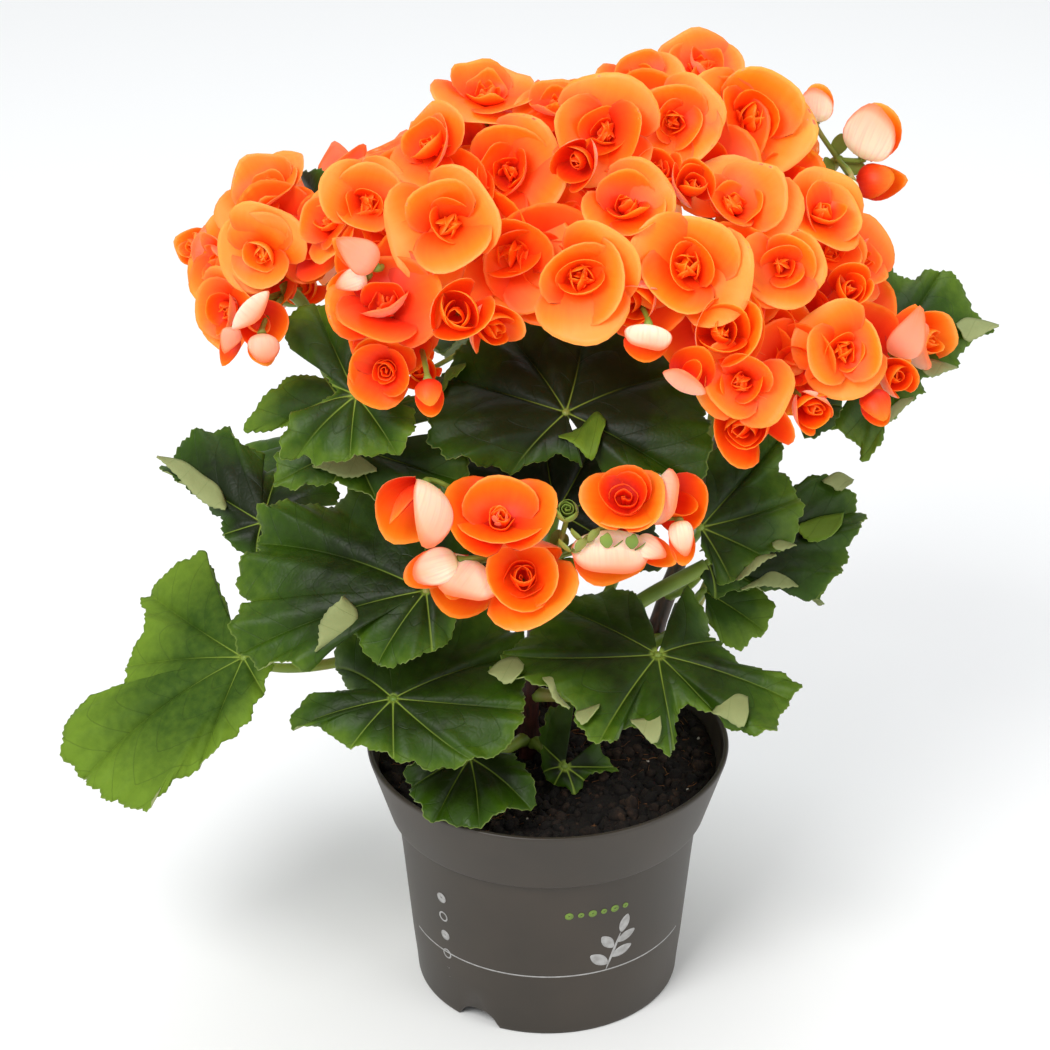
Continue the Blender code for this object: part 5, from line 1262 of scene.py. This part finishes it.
def petalSurface(reach, half, tilts, foot, wrap, ruffle, skew, phase, point=0, base=.2):
    # Middle line: the sum of (sin tilt, cos tilt) from the foot. Rim: an end that stops at 0.36 of the
    # length at the sides, rounded, or drawn to a point. The width follows an arc of radius r/wrap
    # round the axis. The last value tells how near the rim is, 1 - (1 - share)*(1 - |side|^6).
    side = np.sin(np.linspace(-1, 1, bloomShape["columns"]) * math.pi / 2)[None, :]
    end = .36 + .64 * (1 - np.abs(side) ** (2.5 - 1.3 * point)) ** (.4 + .6 * point)
    end = end * (1 + .05 * np.sin(3.1 * side + 1.7 * phase) * (1 - side ** 2))
    along = np.linspace(0, 1, bloomShape["rows"])[:, None] * end
    fine = np.linspace(0, 1.05, 48)
    tilt = np.radians(np.interp(fine, np.linspace(0, 1, len(tilts)), tilts))
    step = reach * 1.05 / 47
    out = foot[0] + np.concatenate([[0], np.cumsum(np.sin(tilt[1:]) * step)])
    up = foot[1] + np.concatenate([[0], np.cumsum(np.cos(tilt[1:]) * step)])
    r, z = np.interp(along, fine, out), np.interp(along, fine, up)
    width = half * (base + (1 - base) * np.sin(np.minimum(along / .62, 1) * math.pi / 2)) * side
    bend = wrap / np.maximum(r, .22)
    x = r - (1 - np.cos(width * bend)) / bend
    y = np.sin(width * bend) / bend
    z = z + ruffle * along ** 3 * np.sin(4.2 * side + phase)
    z = z + .10 * (1 - wrap) * (width / half) ** 2 + skew * y
    rim = 1 - (1 - along / end) * (1 - np.abs(side) ** 6)
    return np.stack([x, y, z], -1), along, side + 0 * along, rim


def rosetteSurface(inner, outer, low, high, phase, columns=56, rows=5):
    # A strip wound round the axis: r grows with the angle, the top leans out and its edge is waved
    turn = np.linspace(0, 2.7 * math.tau, columns)[None, :]
    rise = np.linspace(0, 1, rows)[:, None]
    grow = turn / turn.max()
    r = inner + (outer - inner) * grow + .06 * rise * grow + .02 * np.sin(2.3 * turn + phase)
    r = r + .012 * np.sin(5.1 * turn + 2 * phase)
    z = low + (high - low) * rise * (1 - .30 * grow) + .06 * rise * np.sin(1.7 * turn + phase)
    return np.stack([r * np.cos(turn), r * np.sin(turn), z], -1), rise + 0 * turn, turn / 3 + 0 * rise, rise


def placedPetal(surface, angle, axes, pivot, size, tone, coralAndShade, blush, seed, deep):
    # Turns a surface by an angle about the axis through the pivot, and gives it its two skins.
    # A petal deep in the bloom has the inner colour on both.
    local, along, side, rim = surface
    x, y, z = local[..., 0], local[..., 1], local[..., 2]
    turned = [x * math.cos(angle) - y * math.sin(angle), x * math.sin(angle) + y * math.cos(angle), z]
    grid = pivot + size * sum(part[..., None] * axis for part, axis in zip(turned, axes))
    rim = rim + 0 * along
    thinned = 1 - (1 - bloomShape["rimShare"]) * smoothStep(.6, 1, rim)
    points, faces = shell(grid, bloomShape["thickness"] * thinned)
    count = 2 * along.size
    both = np.repeat([0.0, 0.0 if deep else 1.0], along.size)
    petal = np.stack([np.tile(along.ravel(), 2), both, np.full(count, tone)], -1)
    grain = np.stack([np.tile(9.0 * side.ravel(), 2), np.tile(1.2 * along.ravel(), 2),
                      np.full(count, seed * 3.7)], -1)
    edge = np.stack([np.tile(rim.ravel(), 2), np.full(count, blush), np.full(count, coralAndShade)], -1)
    return points, faces, 0, {"petal": petal, "grain": grain, "edge": edge}


def bloomParts(middle, facing, size, kind, shade, pixel, fork, number, random):
    # Layers of petals from the outside in. The inner ones follow an axis that leans to one side,
    # about the bloom's foot, so that no two blooms look alike.
    scale = bloomShape["shadeScale" if kind == "shade" else "scale" if pixel else "backScale"]
    kind = openKinds[number % 3] if kind == "open" else kind
    right, up, grown, nearer = bloomShifts.get(pixel, (0, 0, 1.0, 0))
    scale = scale * grown
    if pixel in seenBlooms:
        kind, turn, rise, scale, right, up = seenBlooms[pixel]
        facing = turn * across + rise * upward + math.sqrt(max(1 - turn ** 2 - rise ** 2, 0)) * toward
    moved = (right * across + up * upward) * np.linalg.norm(middle - eye) / viewFocal
    middle = middle + moved + nearer * toward
    shape = bloomKinds[kind]
    size = size * scale
    seen = shape.get("seen")
    first, second = inFrame(facing, {"up": upward, "front": toward}[seen] if seen else random.normal(size=3))
    leanWay = random.uniform(0, math.tau)
    leaning = bloomShape["heartLean"] * random.uniform(.3, 1) * (0 if seen else 1)
    swing, ruffling, skewing = (3, .4, .2) if seen else (24, 1, 1)
    # The bloom's shade deepens its petals and heart and turns them warmer red: painted shade for blooms
    # further back, with a random part and its listed tone
    coralAndShade = min(max(.10 + 3.2 * shade + random.uniform(-.1, .25), 0), .8) * (.3 if seen else 1)
    shade = shade + random.uniform(-.04, .07) + bloomTones.get(pixel, 0)
    parts = []
    low = shape["layers"][0][4][1]
    pivot = middle + facing * low * size
    for count, reach, half, tilts, foot, wrap, start, tone, loose, follow in shape["layers"]:
        lean = leaning * follow
        axis = unit(facing + lean * (math.cos(leanWay) * first + math.sin(leanWay) * second))
        axes = (*inFrame(axis, first), axis)
        for petal in range(count):
            angle = math.radians(start + random.uniform(-1, 1) * swing) + math.tau * petal / count
            whole = random.uniform(-1.2, .5) * loose
            bent = [tilt + whole * min(1, .4 + place) + random.uniform(-4, 4)
                    for place, tilt in enumerate(tilts)]
            surface = petalSurface(reach * random.uniform(.90, 1.08), half * random.uniform(.90, 1.12), bent,
                                   (foot[0], foot[1] - low), wrap, random.uniform(.03, .14) * ruffling,
                                   random.uniform(-.20, .20) * skewing, random.uniform(0, 6),
                                   shape.get("point", .08), shape.get("base", .2))
            parts.append(placedPetal(surface, angle, axes, pivot, size, tone + shade, coralAndShade, shape["blush"],
                                     number + petal, tone > (.18 if seen == "front" else .09)))
    if "rosette" in shape:
        inner, outer, bottom, top = shape["rosette"]
        surface = rosetteSurface(inner, outer, bottom - low, top - low, random.uniform(0, 6))
        core = shape.get("core", .34) + shade
        parts.append(placedPetal(surface, 0, axes, pivot, size, core, coralAndShade, .8, number, True))
    if kind == "roseBud":  # still green
        parts = [(points, faces, 1, {}) for points, faces, _, _ in parts]
    if kind != "shade":
        parts += bloomStalk(middle, facing, size, shape["back"], fork, .12 if seen == "front" else .35)
    return parts


def bloomStalk(middle, facing, size, back, fork, bow):
    # A thin tube from the fork that swells into the green foot of the bloom
    end = middle + facing * (back - .06) * size
    reach = np.linalg.norm(end - fork)
    path = bezier(fork, fork + (end - fork) * .3, end - facing * bow * reach, end, 18)
    path = np.concatenate([path, [end + facing * .04 * size, end + facing * .07 * size]])
    radii = np.interp(np.arange(20), [0, 2, 15, 17, 19], [1.5, .95, .9, 1.7, .10 * size])
    points, faces = tubePath(path, radii, 7, unit(np.cross(facing, end - fork) + .001))
    return [(points, faces, 1, {})]


def bracts(fork, away, random, size=8.5):
    # Three small green scales at a fork, made as a petal is
    axes = (*inFrame(away, random.normal(size=3)), away)
    surface = petalSurface(1.0, .42, (70, 60, 50, 40, 30), (.2, -.1), .9, .05, 0, 0)
    made = [placedPetal(surface, number * math.tau / 3, axes, fork, size, 0, 0, 0, number, False)
            for number in range(3)]
    return [(points, faces, 1, {}) for points, faces, _, _ in made]


def sprayStalk(row, fork, away):
    # The spray's own stalk, from inside its stem to the fork
    steps = stalkShape["steps"]
    start, out = besideStem(row["stem"], row["joint"], fork, stalkShape["foot"], stalkShape["room"])
    span = np.linalg.norm(fork - start)
    leave, arrive = start + out * .3 * span, fork - away * .3 * span
    path = bezier(start - out * 1.8, leave, arrive, fork + away * 1.5, steps)
    radii = np.interp(np.linspace(0, 1, steps), stalkShape["shares"], stalkShape["radii"])
    points, faces = tubePath(path, radii, stalkShape["sides"], unit(np.cross(fork - start, out) + .001))
    return points, faces, 1, {}


def makeSprays():
    places = bloomPlaces()
    shades = shadeBlooms(places)
    print(len(places), "blooms and", len(shades), "dim ones between them")
    for order, (name, row) in enumerate({**sprays, **backSprays}.items()):
        random = np.random.default_rng(100 + order)
        fork = np.array(row["fork"], float)
        blooms = [place for place in places if place[0] == name]
        away = unit(np.mean([middle for _, middle, *_ in blooms], axis=0) - fork)
        parts = [sprayStalk(row, fork, away)] + bracts(fork, away, random)
        blooms += [place for place in shades if place[0] == name]
        for spot in frontBracts if name == "spray_front" else ():
            parts += bracts(atDepth(spot, row["depth"] - 4), unit(upward - .3 * toward), random, 5.5)
        if name == "spray_front":
            path = splined([atDepth(*place) for place in zip(frontLimb["pixels"], frontLimb["depths"])], 20)
            parts.append((*tubePath(path, frontLimb["radius"], 12, upward), 1, {}))
        for number, (_, middle, facing, size, kind, shade, pixel) in enumerate(blooms):
            parts += bloomParts(middle, facing, size, kind, shade, pixel, fork, number, random)
        addPiece(name + "_blooms", parts, [petalOrange, stalkGreen], [name])
        joints[row["stem"]].append(row["joint"])


joints = {name: [] for name in stems}
makeLeaves()
print("leaves made")
makeSprays()
print("sprays made")
makeStems(joints)
print("stems made")


# Floor, light and camera. A light is: its place in metres, width in metres, watts and colour.
studio = dict(floor="F4F4F2", sky="F7F9FC", skyStrength=.62, aim=(0, 0, .2), lights={
    "key": ((-.7, -1.1, 1.5), .8, 24, "FFFFFF"), "fill": ((1.2, -.9, .9), 1.0, 7, "FFFFFF"),
    "top": ((.1, .5, 1.6), 1.2, 10, "F4F8FF")})


def makeStage():
    mesh = bpy.data.meshes.new("floor")
    mesh.from_pydata([(-6, -6, 0), (6, -6, 0), (6, 6, 0), (-6, 6, 0)], [], [(0, 1, 2, 3)])
    floor = bpy.data.objects.new("floor", mesh)
    bpy.context.scene.collection.objects.link(floor)
    material, _, shader = newMaterial("pale studio floor", Roughness=.8)
    shader.inputs["Base Color"].default_value = linear(studio["floor"])
    mesh.materials.append(material)


def addLight(name, place, size, power, colour):
    # A square soft box that faces the plant's middle
    light = bpy.data.lights.new(name, "AREA")
    light.shape = "SQUARE"
    light.size = size
    light.energy = power
    light.color = linear(colour)[:3]
    box = bpy.data.objects.new(name, light)
    bpy.context.scene.collection.objects.link(box)
    box.location = place
    aim = np.array(studio["aim"]) - np.array(place)
    tip = math.atan2(math.hypot(aim[0], aim[1]), -aim[2])
    box.rotation_euler = (tip, 0, math.atan2(aim[0], -aim[1]) + math.pi)


def makeCamera():
    camera = bpy.data.cameras.new("camera")
    camera.sensor_width = 36.0
    camera.lens = viewFocal * 36.0 / (2 * viewMiddle)
    camera.clip_end = 20
    holder = bpy.data.objects.new("camera", camera)
    bpy.context.scene.collection.objects.link(holder)
    holder.location = (eye * mm).tolist()
    holder.rotation_euler = (math.pi / 2 - viewAngle, 0, 0)
    bpy.context.scene.camera = holder


world = bpy.context.scene.world or bpy.data.worlds.new("studio")
bpy.context.scene.world = world
world.use_nodes = True
world.node_tree.nodes["Background"].inputs[0].default_value = linear(studio["sky"])
world.node_tree.nodes["Background"].inputs[1].default_value = studio["skyStrength"]
makeStage()
for name, light in studio["lights"].items():
    addLight(name, *light)
makeCamera()
bpy.context.scene.view_settings.view_transform = "Standard"  # the photograph's colours, with no film curve
print("stage made")
